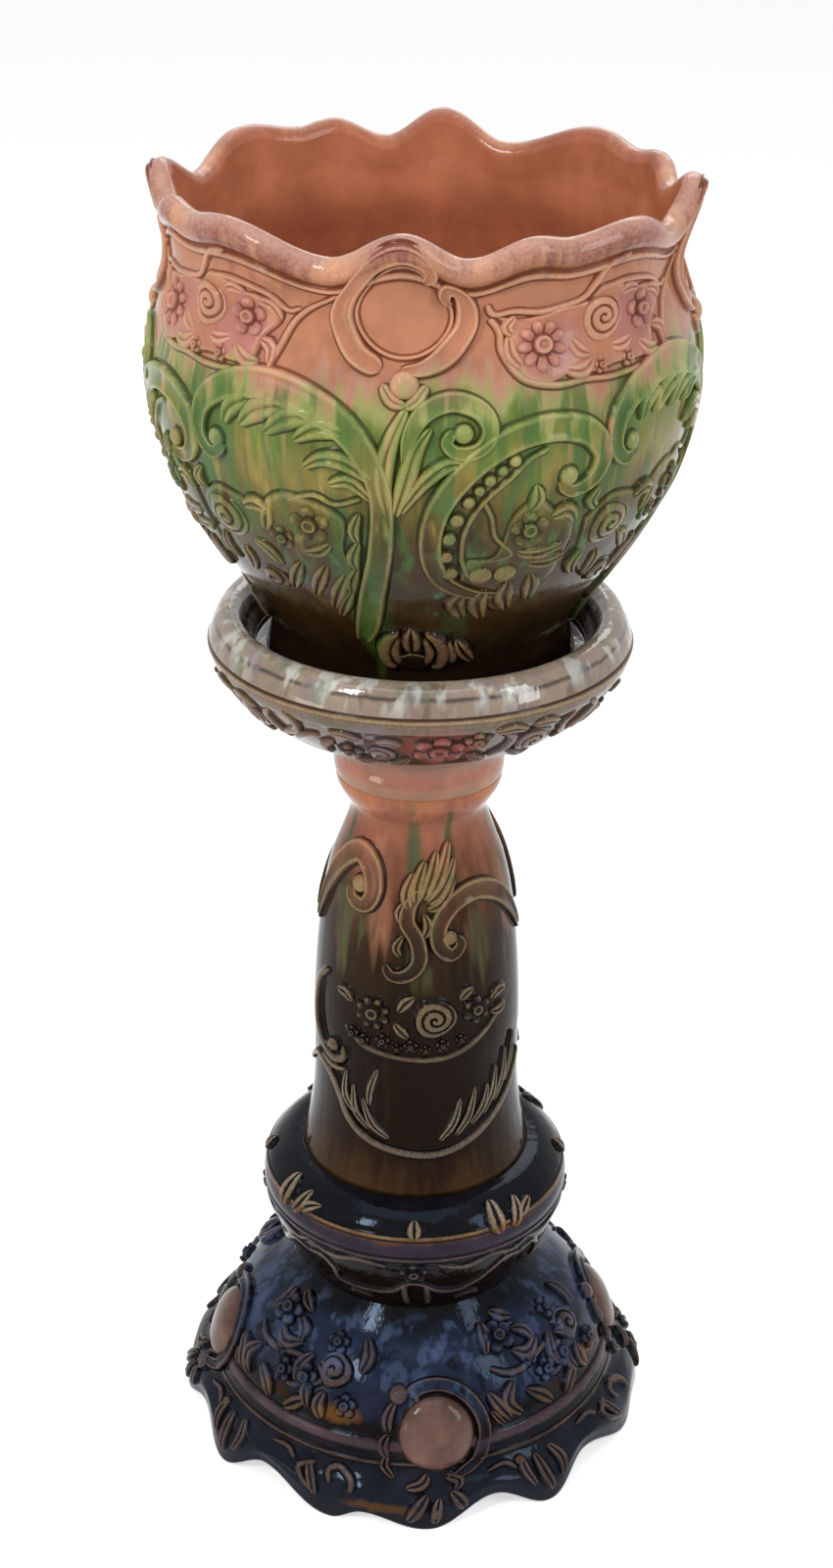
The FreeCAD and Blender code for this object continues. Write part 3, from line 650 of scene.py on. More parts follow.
def group_glaze_drips_and_sheen():
    """Group: streaks of another colour between two heights: runs of another glaze, and on the
    foot and the dish painted reflection of the sky as well. Streaked noise is cut at a level,
    and the heights are eased in and out."""
    group, n, start, end = new_group(
        "Glaze Drips",
        [("Under", "NodeSocketColor", None), ("Drip", "NodeSocketColor", None),
         ("Height", "NodeSocketFloat", 0.0), ("Low", "NodeSocketFloat", 0.0),
         ("High", "NodeSocketFloat", 1.0), ("Seed", "NodeSocketVector", None),
         ("Spread", "NodeSocketFloat", .5), ("Amount", "NodeSocketFloat", .8)],
        [("Color", "NodeSocketColor")])
    mask = smooth_range(n, streaked(n, DRIP_STREAKS, start.outputs["Seed"]),
                        n.minus(1.0, start.outputs["Spread"]),
                        n.minus(1.0 + DRIP_EDGE, start.outputs["Spread"]))
    height = start.outputs["Height"]
    low, high = start.outputs["Low"], start.outputs["High"]
    tail = smooth_range(n, height, low, n.plus(low, DRIP_TAIL))
    head = smooth_range(n, height, high, n.minus(high, DRIP_HEAD))
    share = n.times(mask, start.outputs["Amount"], n.times(tail, head))
    n.link(n.mix(share, start.outputs["Under"], start.outputs["Drip"]), end.inputs["Color"])
    return group


def group_glaze_depth_and_shade():
    """Group: the colour of a glaze by how deep it lies, from a thin crest, through the plain
    colour, to the dark pool beside a relief edge, with clouding and fine speckle. The light crest
    is partly thin glaze and partly painted highlight; the dark pool is partly pooled glaze and
    partly painted shade."""
    group, n, start, end = new_group(
        "Glaze Depth and Shade",
        [("Plain", "NodeSocketColor", None), ("Pool", "NodeSocketColor", None),
         ("Crest", "NodeSocketColor", None), ("Pooling", "NodeSocketFloat", .4),
         ("Clouds", "NodeSocketFloat", .25)],
        [("Color", "NodeSocketColor"), ("Cloud", "NodeSocketFloat")])
    place = n.add("ShaderNodeTexCoord").outputs["Object"]
    cloud = n.noise(place, CLOUD_SCALE, 4.0)
    speck = n.noise(place, SPECK_SCALE, 2.0)
    depth = n.plus(start.outputs["Pooling"], n.times(n.minus(speck, .5), SPECK_DEPTH))
    # High values darken towards the pool colour, pooled glaze and painted shade; low values
    # lighten towards the crest colour, thin glaze and painted highlight.
    pooled_shade, thin_highlight = smooth_range(n, depth, .42, .92), smooth_range(n, depth, .34, -.02)
    colour = n.mix(n.times(thin_highlight, CREST_HIGHLIGHT_SHARE), start.outputs["Plain"], start.outputs["Crest"])
    colour = n.mix(n.times(pooled_shade, POOL_SHADE_SHARE), colour, start.outputs["Pool"])
    shade = n.plus(n.times(n.minus(cloud, .5), start.outputs["Clouds"], CLOUD_GAIN), 1.0)
    grey = n.add("ShaderNodeCombineColor")
    for i in range(3):
        n.link(shade, grey.inputs[i])
    n.link(n.mix(1.0, colour, grey.outputs[0], "MULTIPLY"), end.inputs["Color"])
    n.link(cloud, end.inputs["Cloud"])
    return group


GROUPS = {"Glaze Runs": group_glaze_runs, "Glaze Drips": group_glaze_drips_and_sheen,
          "Glaze Depth and Shade": group_glaze_depth_and_shade}


def use_group(n, name, **values):
    node = n.add("ShaderNodeGroup")
    node.node_tree = bpy.data.node_groups.get(name) or GROUPS[name]()
    for key, value in values.items():
        n.feed(node.inputs[key], value)
    return node


def glaze(name, plain, pool_shade, crest_highlight, run=20.0, clouds=.25, drips_and_sheen=(), patches=(), lining=None,
          gloss=.12, sky=(1, 1, 1)):
    """A majolica glaze. plain, pool_shade and crest_highlight are (height, colour) stops up
    the object: the plain glaze, the dark pool beside relief edges (pooled glaze and painted
    shade) and the light crests (thin glaze and painted highlight); the glaze's runs shift the
    height at which they change. drips_and_sheen are streaks of another colour, runs of another
    glaze and, on the foot and in part on the dish, painted reflection of the sky:
    (colour, low, high, spread, amount). patches are soft spots of another colour that repeat
    in every sector: (azimuth, height, width, tall, colour); their share is PATCH_CORE less
    the squares of the distances over width and tall. gloss and sky are the strength and the
    tint of its reflections."""
    made = bpy.data.materials.get(name)
    if made:
        return made
    material = bpy.data.materials.new(name)
    material.use_nodes = True
    n = Nodes(material.node_tree)
    surface = n.tree.nodes["Principled BSDF"]
    place = n.add("ShaderNodeTexCoord").outputs["Object"]
    axes = n.add("ShaderNodeSeparateXYZ")
    n.link(place, axes.inputs[0])
    runs = use_group(n, "Glaze Runs", Depth=run)
    level = n.times(axes.outputs[2], 1 / MM)
    height = n.plus(level, runs.outputs["Run"])
    heights = [stop[0] for stop in plain + pool_shade + crest_highlight]
    colours = [n.ramp(height, stops, min(heights) - 1, max(heights) + 1)
               for stops in (plain, pool_shade, crest_highlight)]
    turn = n.math("ARCTAN2", axes.outputs[0], n.times(axes.outputs[1], -1.0))
    for azimuth, middle, wide, tall, colour in patches:
        aside = n.math("WRAP", n.minus(turn, math.radians(azimuth)),
                       math.pi / SECTORS, -math.pi / SECTORS)
        across = n.squared(n.math("DIVIDE", aside, math.radians(wide)))
        up = n.squared(n.math("DIVIDE", n.minus(height, middle), tall))
        spot = n.math("SUBTRACT", PATCH_CORE, n.plus(across, up), clamp=True)
        colours[0] = n.mix(n.times(spot, PATCH_SHARE), colours[0], ready(colour))
    for i, (colour, low, high, spread, amount) in enumerate(drips_and_sheen):
        for k, share in ((0, 1.0), (2, .5)):       # on the plain glaze, and half on the crests
            overlay = use_group(n, "Glaze Drips", Under=colours[k], Drip=ready(colour),
                             Height=level, Low=low, High=high, Seed=(.37 * i + .11, .53 * i, .0),
                             Spread=spread, Amount=share * amount)
            colours[k] = overlay.outputs[0]
    if lining:
        inside = n.add("ShaderNodeAttribute", attribute_name="lining").outputs["Fac"]
        colours = [n.mix(inside, colour, lining) for colour in colours]
    # The pool-and-shade value of each point: pooled glaze and painted shade towards 1, thin glaze
    # and painted highlight towards 0.
    tone = n.add("ShaderNodeAttribute", attribute_name="pool_and_shade")
    depth = use_group(n, "Glaze Depth and Shade", Plain=colours[0], Pool=colours[1], Crest=colours[2],
                      Pooling=tone.outputs["Fac"], Clouds=clouds)
    n.link(depth.outputs["Color"], surface.inputs["Base Color"])
    rough = n.plus(n.times(depth.outputs["Cloud"], ROUGHNESS_CLOUDS), ROUGHNESS)
    n.link(rough, surface.inputs["Roughness"])
    surface.inputs["Specular IOR Level"].default_value = gloss
    surface.inputs["Specular Tint"].default_value = (*sky, 1)
    surface.inputs["IOR"].default_value = 1.5
    bump = n.add("ShaderNodeBump")
    bump.inputs["Strength"].default_value = BUMP_SHARE
    bump.inputs["Distance"].default_value = BUMP_DEPTH
    waves = n.plus(n.noise(place, WAVE_SCALE, 2.0), n.times(runs.outputs["Streak"], BUMP_STREAKS))
    n.link(waves, bump.inputs["Height"])
    n.link(bump.outputs[0], surface.inputs["Normal"])
    return material


def bowl_glaze():
    lip, neck, green, olive = hue("lip"), hue("neck"), hue("green"), hue("olive")
    belly = hue("belly")
    rust = (112, 58, 34)
    plain = [(842, lip), (830, lip), (822, deeper(neck, .8)), (812, neck), (780, neck),
             (772, deeper(neck, .92)), (764, (178, 126, 106)), (756, (164, 142, 96)),
             (747, (148, 150, 90)), (736, green), (712, olive), (690, (98, 84, 38)),
             (664, (66, 50, 22)), (640, belly), (604, (44, 30, 14)), (580, (30, 20, 11))]
    pool_shade = [(842, rust), (770, rust), (750, (62, 66, 26)), (716, (48, 60, 24)),
            (670, (38, 34, 14)), (600, (20, 13, 7))]
    crest_highlight = [(842, (214, 170, 150)), (776, (216, 172, 134)), (748, (150, 158, 90)),
             (708, (176, 168, 112)), (664, (158, 140, 92)), (628, (132, 106, 66)),
             (590, (158, 124, 92))]
    drips_and_sheen = [((74, 104, 50), 640, 768, .5, .75), ((196, 142, 108), 706, 775, .4, .8),
             ((66, 112, 78), 610, 735, .37, .65), ((170, 150, 84), 655, 742, .42, .5),
             ((40, 28, 12), 560, 700, .45, .5)]
    patches = [(-14, 640, 7, 60, (62, 88, 36)), (40, 720, 8, 34, (66, 96, 46)),
               (10, 612, 5, 12, (58, 62, 34)), (50, 786, 10, 20, (176, 114, 108)),
               (26, 776, 10, 16, (180, 120, 108))]
    return glaze("majolica_bowl", plain, pool_shade, crest_highlight, drips_and_sheen=drips_and_sheen, patches=patches,
                 lining=hue("lining"))


# ---------------------------------------------------------------------------- the walls
BOWL_OUTLINE = [(153.6, 840), (150.2, 828), (146.4, 813), (143.8, 799), (143.2, 788), (145.2, 778),
                (149, 767), (151.8, 756), (153.8, 745), (154.4, 733), (154.4, 722), (152.6, 707),
                (149, 690), (143.2, 672), (134.6, 655), (124, 636), (111.8, 617.5), (100.8, 602),
                (92.4, 588), (88.2, 577), (90.2, 562), (92, 556)]

bowl_wall = Wall(BOWL_OUTLINE, lip_wave)


def graded(points, pool_and_shade, lining=0.0):
    """Outline points that share one pool-and-shade value (pooled glaze and painted shade) and
    one of lining.
    """
    return [(r, z, pool_and_shade, lining) for r, z in points]


def make_bowl():
    """The bowl's closed shell: outer face, foot ring, hollow floor, inner face, rolled lip."""
    outer = [(r, z) for r, z in BOWL_OUTLINE[::-1] if z < 824]
    inner = [(r - BOWL_WALL, z) for r, z in BOWL_OUTLINE if 590 < z < 826]
    recess = BOWL_BASE + 4
    # The crease under the rolled lip is darkest and the roll's top lightest: pooled and thin
    # glaze, with painted shade under the roll and painted highlight on its top.
    lip = [(146.4, 819.5, .4, 0), (149.6, 823.2, .95, 0), (153.2, 827, .3, 0), (154.4, 832, .2, 0),
           (152.6, 837.2, .1, 0), (148.6, 839.8, .05, 0), (144.2, 838.9, .1, .3),
           (141.2, 834.4, .4, .8), (140.4, 826, .4, 1)]
    pieces = [
        graded([(0, recess), (76, recess)], .4), graded([(76, recess), (78, BOWL_BASE)], .4),
        graded([(78, BOWL_BASE), (92, BOWL_BASE)], .5),
        graded([(92, 556)] + outer[1:], .4), lip, graded(inner, .4, 1.0),
        graded([(84, 588), (80, 574), (60, 567), (0, 567)], .4, 1.0),
    ]
    shell = turned_shell("glazed_bowl", pieces, WAVY_MESH, lip_wave)
    return finish_piece(shell, JARDINIERE, bowl_glaze(), "bowl")


# ------------------------------------------------------------------------ bowl's relief
MEDALLION = (-4.0, 800.0)


def arc(radius, start, end, width, centre=(0, 0), steps=14):
    """Points of an arc of even width, its angles in degrees from the right."""
    a = np.radians(np.linspace(start, end, steps))
    return [(centre[0] + radius * math.cos(t), centre[1] + radius * math.sin(t), width) for t in a]


def belt(heap, height, width, rise):
    """A moulding that runs all round: one stroke for each repeat, its ends overlapping."""
    half = 180 / SECTORS + 2.5
    drawn(heap, rise, ROUND, [(a, height, width) for a in np.linspace(-half, half, 25)])


def make_medallions():
    """C-shaped rings round plain roundels under the tall lobes of the lip, and the cord that
    follows the lip's wave."""
    heap = Heap(bowl_wall)
    ring = [(10, 17, 3), (13, 25, 8), (7, 30.5, 11), (-4, 32, 12.5), (-18, 27, 13),
            (-29.5, 13, 13.5), (-32, -5, 13.5), (-24.5, -22.5, 13), (-11, -31, 11)]
    arm = [(-1, -31.5, 5), (11, -29.5, 9), (22, -22, 13), (31, -8, 13), (32, 8, 12), (28, 19, 9.5),
           (21.5, 19.5, 7.5), (20, 12.5, 6.5), (23.5, 8.5, 5)]
    sketched(heap, MEDALLION, 3.8, BAND, ring, arm)
    sketched(heap, MEDALLION, 2.6, ROUND, arc(24.6, 50, 400, 2.4))
    dome(heap, MEDALLION, 7.5, 5.4, (1.0, -38))
    sketched(heap, MEDALLION, 2.8, LEAF, [(-10, -38, 5), (-5, -46, 8), (2, -49, 4)],
             [(12, -38, 5), (7, -46, 8), (1, -50, 4)])
    belt(heap, 819, sizes().cord_width / MM, 2.2)
    return bowl_relief(heap, "relief_medallion_rings", "bowl_medallion_rings")


def make_flower_sprays():
    """Daisy, rose and small flower on a leafy pad under the lip, and the panels' borders."""
    heap = Heap(bowl_wall)
    pad(heap, (38, 782),
        [(-59, 17), (-53, 8), (-53, -6), (-47, -18), (-34, -23), (-18, -19), (-4, -21), (10, -19),
         (27, -20), (40, -17), (45, -4), (54, 6), (53, 16), (40, 20), (26, 19), (18, 24), (4, 26),
         (-6, 19), (-22, 18), (-34, 14), (-47, 13)], 1.7)
    daisy(heap, (24.5, 779.5), 14.5, 9, 4.2)
    rose(heap, (39.5, 789.5), 14, 5.2)
    daisy(heap, (51.5, 787.5), 12, 5, 4.2)
    for azimuth, height, radius in ((37.5, 765, 4.6), (45.2, 765.5, 5.2)):
        daisy(heap, (azimuth, height), radius, 5, 3.4, .42)
    drawn(heap, 3.0, LEAF, [(20, 769, 5), (17.6, 776, 9), (17.4, 786, 4)],
          [(29, 766, 5), (33, 764, 10), (36, 769, 5)],
          [(31, 781, 5), (32.6, 774, 10), (35.5, 771, 4)],
          [(41, 773, 5), (44, 772, 9), (47.5, 775, 4)],
          [(49, 772, 5), (52, 766, 10), (55.5, 766, 4)],
          [(55, 777, 5), (58, 774, 9), (58, 765, 4)],
          [(53.5, 799, 5), (57.5, 797, 9), (59.5, 789, 4)],
          [(19, 797, 4), (17, 791, 8), (18.5, 785, 4)],
          [(44.5, 799, 4), (47, 802, 8), (50.5, 800, 4)])
    drawn(heap, 2.6, ROUND,
          [(13, 809, 3), (14.4, 800.5, 4.4), (18.5, 800, 4), (24, 797.5, 4), (30, 800, 4),
           (35, 803, 4.4), (37.5, 810, 5), (40.5, 819, 4.4), (46, 822, 4)],
          [(41, 806, 3), (46, 806.5, 4), (52, 805.5, 4), (57, 803.5, 4.4), (61, 797, 4),
           (64, 801, 3)],
          [(72, 816, 3.4), (66.5, 804, 4), (62.5, 790, 4), (60, 776, 4), (57.5, 762, 3)],
          [(13.6, 798, 4), (15.6, 788, 4), (16, 777, 4), (20, 764, 4), (27, 759, 4),
           (34, 759.5, 3.4), (41, 758, 3.4), (49, 759, 3.4), (56, 759.5, 3.4)])
    return bowl_relief(heap, "relief_flower_sprays", "bowl_flower_sprays")


def make_acanthus():
    """A banded stem that rises from the foot, arches to the left and ends in a curl."""
    heap = Heap(bowl_wall)
    drawn(heap, 3.9, BAND,
          [(-18.5, 598, 8), (-15.2, 613, 15), (-11.6, 640, 15.5), (-8.8, 668, 14.5),
           (-7.9, 700, 13.5), (-10.2, 722, 15), (-16, 741.5, 18), (-25, 753, 20), (-34, 756, 19),
           (-42.5, 750, 17), (-48.2, 738, 14), (-49.4, 722, 11), (-46.2, 712.5, 9),
           (-42.6, 717, 7)])
    dome(heap, (-44.6, 721), 5.5, 4.6)
    drawn(heap, 3.8, LEAF, [(-15, 737, 8), (-20.5, 738, 13), (-25.5, 730, 5)],
          [(-21, 744, 8), (-27, 741, 14), (-32, 731, 5)],
          [(-28, 747, 8), (-34, 742, 14), (-38, 732, 5)],
          [(-36, 747, 8), (-40.5, 740, 12), (-42, 730, 4)],
          [(-9.5, 712, 5), (-14.5, 721, 11), (-19.5, 722, 9), (-23.5, 716, 4)],
          [(-9.6, 701, 4), (-14, 711, 9), (-18.6, 708, 4)])
    drawn(heap, 2.8, LEAF, [(-12.6, 692, 4), (-14, 682, 8), (-13.4, 673, 4)],
          [(-13.2, 674, 4), (-15, 663, 9), (-14.6, 654, 4)],
          [(-14.4, 656, 4), (-16.4, 646, 9), (-17.2, 636, 4)],
          [(-17, 638, 4), (-20, 627, 9), (-23, 616, 4)])
    drawn(heap, 2.2, ROUND, [(-12, 701, 3), (-17.5, 696, 3), (-22, 700, 3.4), (-28.5, 694, 3)])
    return bowl_relief(heap, "relief_acanthus_scrolls", "bowl_acanthus_scrolls")


def make_leaf_curls():
    """An upright leaf of several tips and the small scroll that curls beside it."""
    heap = Heap(bowl_wall)
    drawn(heap, 3.4, LEAF, [(-6.4, 690, 5), (-7.6, 712, 11), (-6.2, 732, 10), (-3.2, 751, 5)],
          [(-5.4, 692, 5), (-3.2, 712, 11), (-1.2, 730, 9), (1.6, 742, 4)],
          [(-4.4, 694, 4), (.2, 712, 9), (4.8, 722, 9), (8.6, 722, 4)])
    drawn(heap, 3.7, BAND,
          [(-3.4, 722, 4), (-2.4, 738, 9), (.6, 750, 11), (5.6, 755, 11.5), (10.8, 750.5, 11),
           (13, 740.5, 10), (11.2, 730.5, 9), (6.8, 728.5, 8), (4.6, 734, 7), (6, 740.5, 6)])
    dome(heap, (7.8, 738.5), 5.4, 4.4)
    return bowl_relief(heap, "relief_leaf_curls", "bowl_leaf_curls")


def make_beaded_scrolls():
    """A broad C-scroll that opens downwards, with a row of beads inside its border."""
    heap = Heap(bowl_wall)
    drawn(heap, 3.8, BAND,
          [(19, 637, 4), (11, 641, 9), (4.4, 652, 12), (1.8, 672, 13), (3.2, 696, 14),
           (8.6, 718, 15), (16.4, 733, 16), (25.5, 738, 16.5), (33.4, 733, 16),
           (37.6, 719.5, 13.5), (35.8, 706, 10.5), (31.2, 701.2, 8.5), (28, 706, 7)])
    dome(heap, (30, 709.5), 5.6, 4.6)
    drawn(heap, 3.0, ROUND,
          [(11, 650, 3.4), (8.8, 664, 3.4), (8.8, 682, 3.4), (12, 699, 3.4), (17.5, 713, 3.4),
           (21, 722, 3.4), (25, 727, 3)])
    beads = [(6.4, 655, 5), (5.2, 667, 4.2), (5.6, 678.5, 4.2), (7, 690, 4.2), (9.2, 700.5, 3.6),
             (11.2, 707, 3), (13.2, 712.5, 3.4), (15.6, 717.5, 3), (18, 722.5, 3.6)]
    for azimuth, height, radius in beads:
        dome(heap, (azimuth, height), radius, 4.2, ring=16, rows=6)
    drawn(heap, 2.2, ROUND,
          [(12.2, 700, 3), (14.2, 690, 3), (15.6, 677, 3), (20, 665, 3.4), (16, 661.5, 3),
           (11.2, 662, 3)])
    return bowl_relief(heap, "relief_beaded_scrolls", "bowl_beaded_scrolls")


def make_lower_sprays():
    """Flowers, fruits and hanging leaves low on the belly, either side of the stem."""
    heap = Heap(bowl_wall)
    pad(heap, (22, 658),
        [(-29, 6), (-14, 8), (-8, 34), (4, 44), (16, 34), (27, 26), (29, 6), (25, -18), (10, -34),
         (-4, -42), (-14, -34), (-30, -32), (-32, -12)], 1.3)
    pad(heap, (-25, 662),
        [(-30, 22), (-14, 38), (4, 38), (22, 28), (20, 6), (22, -12), (12, -32), (2, -46),
         (-14, -38), (-28, -18), (-33, 2)], 1.3)
    daisy(heap, (22.6, 681), 11.5, 5, 3.6)
    daisy(heap, (-23.5, 682), 12, 5, 3.6)
    daisy(heap, (-31, 670), 8, 5, 3.2)
    for azimuth, height in ((13.6, 652), (19.4, 652)):
        dome(heap, (azimuth, height), 7.2, 4.6)
    drawn(heap, 3.2, LEAF, [(22, 692, 5), (23.5, 699, 10), (23, 707, 4)],
          [(27, 686, 6), (31, 689, 11), (33.5, 681, 5)],
          [(21, 666, 6), (26.5, 664, 11), (32, 668, 5)],
          [(24, 658, 6), (29.5, 656, 11), (34, 660, 5)],
          [(10.4, 641, 6), (8.8, 631, 13), (11.4, 620, 6)],
          [(15.4, 642, 7), (14.4, 631, 14), (16.8, 618, 6)],
          [(21.2, 646, 7), (21, 635, 14), (23.4, 623, 6)],
          [(26.6, 648, 7), (27.8, 639, 13), (28.8, 628, 6)],
          [(-19.5, 671, 5), (-22.5, 665, 10), (-26.5, 663, 4)],
          [(-33, 690, 5), (-34, 680, 10), (-35, 672, 4)],
          [(-22, 655, 6), (-25, 643, 11), (-28, 630, 5)],
          [(-17.6, 650, 6), (-20.5, 637, 11), (-24, 622, 5)],
          [(-28.5, 654, 6), (-31.5, 643, 11), (-34, 632, 5)])
    return bowl_relief(heap, "relief_lower_sprays", "bowl_lower_sprays")


def make_belly_roses():
    """Roses on the belly, between the scrolls, with leaves and a bud below."""
    heap = Heap(bowl_wall)
    pad(heap, (46, 664),
        [(-24, 18), (-8, 30), (12, 26), (26, 18), (30, -2), (22, -26), (6, -36), (-10, -26),
         (-20, -8)], 1.3)
    rose(heap, (44, 674), 15, 4.8)
    drawn(heap, 3.2, LEAF, [(50, 684, 5), (53.5, 688, 11), (57.5, 684, 5)],
          [(38.6, 686, 5), (36.5, 692, 9), (38.4, 699, 4)],
          [(50, 664, 5), (53.6, 658, 11), (56, 648, 5)],
          [(39, 660, 5), (37.6, 650, 10), (39.6, 641, 4)],
          [(44.5, 655, 6), (45.2, 647, 11), (44, 637, 5)])
    rose(heap, (51, 637), 9.5, 4.0, 1.6)
    return bowl_relief(heap, "relief_roses", "bowl_roses")


def make_foot_rosettes():
    """A palmette that opens upwards just above the bowl's foot."""
    heap = Heap(bowl_wall)
    drawn(heap, 4.4, LEAF, [(-2.6, 592, 8), (-2.8, 601, 13), (-2.8, 610, 8)],
          [(11.5, 600, 5), (14.6, 591, 10), (18.5, 583, 4)])
    drawn(heap, 4.4, ROUND,
          [(-6.6, 607, 5), (-9.6, 603, 8), (-12, 593, 10), (-11.2, 583, 9), (-8, 579, 6)],
          [(-6.8, 602, 4), (-8.2, 592, 7), (-7, 582, 6)],
          [(1.6, 607, 5), (4.6, 603, 8), (7.6, 593, 10), (7, 583, 9), (3.8, 579, 6)],
          [(1.2, 602, 4), (3.2, 592, 7), (2, 582, 6)], [(9, 599, 4), (11, 590, 7), (11, 582, 5)])
    pad(heap, (-2.6, 585), [(-7, 4), (0, 7), (7, 4), (8, -4), (0, -7), (-8, -4)], 3.4)
    return bowl_relief(heap, "relief_foot_rosettes", "bowl_foot_rosettes")


# --------------------------------------------------------------------- pedestal's walls
DISH_FLANK = [(113, 580), (119, 577.6), (124.6, 568), (126.5, 560), (123.5, 552), (117, 543),
              (109.5, 533), (98, 521.5)]
COLUMN_OUTLINE = [(51.8, 474), (50.8, 467), (47, 459.5), (42.8, 452.5), (42.3, 446), (44.3, 438),
                  (49, 425), (54, 411), (58, 394), (61.3, 372), (63.5, 350), (65, 328), (66, 305),
                  (65.6, 285), (65.8, 262), (66.6, 245), (68.4, 229), (71, 215), (74.5, 202)]
COLLAR_OUTLINE = [(75, 202), (83, 200.6), (91, 195.5), (97.4, 188), (100, 179), (99, 171),
                  (96.6, 161), (92.6, 147), (86, 133), (78, 121.5), (75, 115)]
FOOT_OUTLINE = [(75, 115), (90, 101), (105, 89), (117, 76), (126, 60.5), (131, 49), (134.4, 41.5),
                (136.8, 35.5), (142, 29), (149, 21.5), (154.6, 12), (156.5, 0)]

dish_wall = Wall(DISH_FLANK)
column_wall = Wall(COLUMN_OUTLINE)
collar_wall = Wall(COLLAR_OUTLINE)
foot_wall = Wall(FOOT_OUTLINE, skirt_wave)


def column_stops():
    pink, dark = hue("column"), hue("dark")
    plain = [(478, (176, 112, 78)), (462, (154, 96, 76)), (446, deeper(pink, .9)),
             (424, deeper(pink, .62)), (404, (80, 50, 36)), (380, (52, 36, 22)),
             (350, (36, 24, 14)), (310, (20, 12, 7)), (250, deeper(dark, .5)), (224, (34, 18, 10)),
             (202, (56, 38, 20))]
    pool_shade = [(478, (88, 42, 28)), (440, (60, 26, 16)), (400, (22, 12, 6)), (200, deeper(dark, .4))]
    crest_highlight = [(478, (210, 160, 130)), (436, (178, 150, 102)), (400, (170, 144, 100)),
             (372, (150, 126, 92)), (330, (156, 134, 104)), (300, (128, 104, 80)),
             (270, (168, 148, 122)), (236, (142, 124, 106)), (200, (84, 60, 38))]
    return plain, pool_shade, crest_highlight


def foot_stops():
    dark = hue("dark")
    # Painted reflection: the slate-blue bands on the dome (96 to 66) and low on the skirt (32 to
    # 14) stand in for the sky seen in the dark glaze.
    plain = [(200, (18, 16, 20)), (188, (16, 11, 9)), (185, (84, 54, 26)), (182, (50, 38, 48)),
             (173, (40, 30, 38)), (168, dark), (120, dark), (110, (16, 13, 14)),
             (96, (30, 36, 54)), (66, (30, 33, 48)), (58, dark), (52, dark), (49, (60, 46, 52)),
             (44, (46, 34, 40)), (41, deeper(dark, .7)), (37, deeper(dark, .7)),
             (32, (26, 25, 32)), (14, (26, 26, 34)), (0, (30, 24, 26))]
    pool_shade = [(200, deeper(dark, .35)), (0, deeper(dark, .3))]
    crest_highlight = [(200, (190, 168, 140)), (189, (176, 146, 112)), (186, (146, 104, 56)),
             (174, (84, 66, 70)), (160, (150, 130, 116)), (140, (110, 92, 84)),
             (110, (104, 82, 66)), (84, (102, 80, 64)), (62, (116, 88, 56)), (48, (82, 64, 66)),
             (30, (118, 92, 72)), (0, (112, 88, 72))]
    return plain, pool_shade, crest_highlight


def dish_stops():
    rim = hue("dish")
    plain = [(582, deeper(rim, 1.15)), (574.5, rim), (573, (46, 30, 22)), (571, rim),
             (563, deeper(rim, .9)), (561, (104, 74, 40)), (557, (84, 62, 36)),
             (552, (96, 78, 56)), (538, (92, 70, 54)), (526, (64, 44, 32)), (512, (44, 30, 20)),
             (496, (136, 84, 60)), (486, (196, 124, 98)), (476, (150, 104, 72))]
    pool_shade = [(582, (58, 34, 26)), (530, (30, 16, 10)), (474, (60, 26, 14))]
    crest_highlight = [(582, (190, 182, 164)), (560, (188, 166, 132)), (548, (170, 136, 122)),
             (530, (140, 110, 92)), (474, (190, 140, 104))]
    return plain, pool_shade, crest_highlight


DISH_PATCHES = [(6, 541, 11, 17, (146, 72, 66)), (-13, 545, 7, 14, (102, 88, 94)),
                (27, 536, 6, 12, (98, 84, 92))]


def dish_glaze():
    # The pale runs on the rim are partly the glaze's white streaks and partly painted reflection
    # of the sky.
    drips_and_sheen = [((194, 196, 186), 556, 600, .5, .75), ((98, 114, 86), 550, 600, .42, .6),
             ((88, 54, 40), 520, 600, .42, .6), ((128, 110, 112), 552, 600, .45, .6)]
    return glaze("majolica_dish", *dish_stops(), .8, .4, drips_and_sheen=drips_and_sheen, patches=DISH_PATCHES,
                 gloss=.5)


def column_glaze():
    drips_and_sheen = [((140, 88, 72), 360, 430, .4, .6), ((78, 80, 52), 340, 420, .46, .7),
             ((112, 118, 74), 456, 478, .45, .6), ((64, 34, 20), 230, 420, .42, .5)]
    patches = [(-3, 432, 6, 34, (62, 88, 60)), (24, 428, 4.5, 28, (58, 82, 54)),
               (-24, 400, 8, 34, (140, 98, 72)), (40, 384, 7, 30, (74, 70, 50))]
    return glaze("majolica_column", *column_stops(), 22.0, drips_and_sheen=drips_and_sheen, patches=patches,
                 gloss=.08, sky=(1, .72, .55))


def foot_glaze():
    # The slate-blue runs over the dome are painted reflection of the sky; the near-black runs are
    # the glaze's own mottling.
    drips_and_sheen = [((60, 72, 98), 56, 118, .5, .7), ((10, 7, 7), 40, 130, .42, .7)]
    patches = [(-22, 61, 7, 6, (108, 72, 22)), (-8, 15, 9, 3.5, (84, 54, 18)),
               (46, 60, 6, 4, (48, 28, 12))]
    return glaze("majolica_foot", *foot_stops(), 2.5, .6, drips_and_sheen=drips_and_sheen, patches=patches,
                 gloss=.1, sky=(.55, .74, 1))


def dish_relief_glaze():
    return glaze("majolica_dish_relief", *dish_stops(), .8, patches=DISH_PATCHES)


def column_relief_glaze():
    return glaze("majolica_column_relief", *column_stops(), 14.0,
                 drips_and_sheen=[((74, 88, 48), 360, 452, .42, .6)], gloss=.1,
                 patches=[(5, 418, 12, 24, (80, 70, 38)),
                          (-50, 415, 20, 24, (96, 72, 48))])


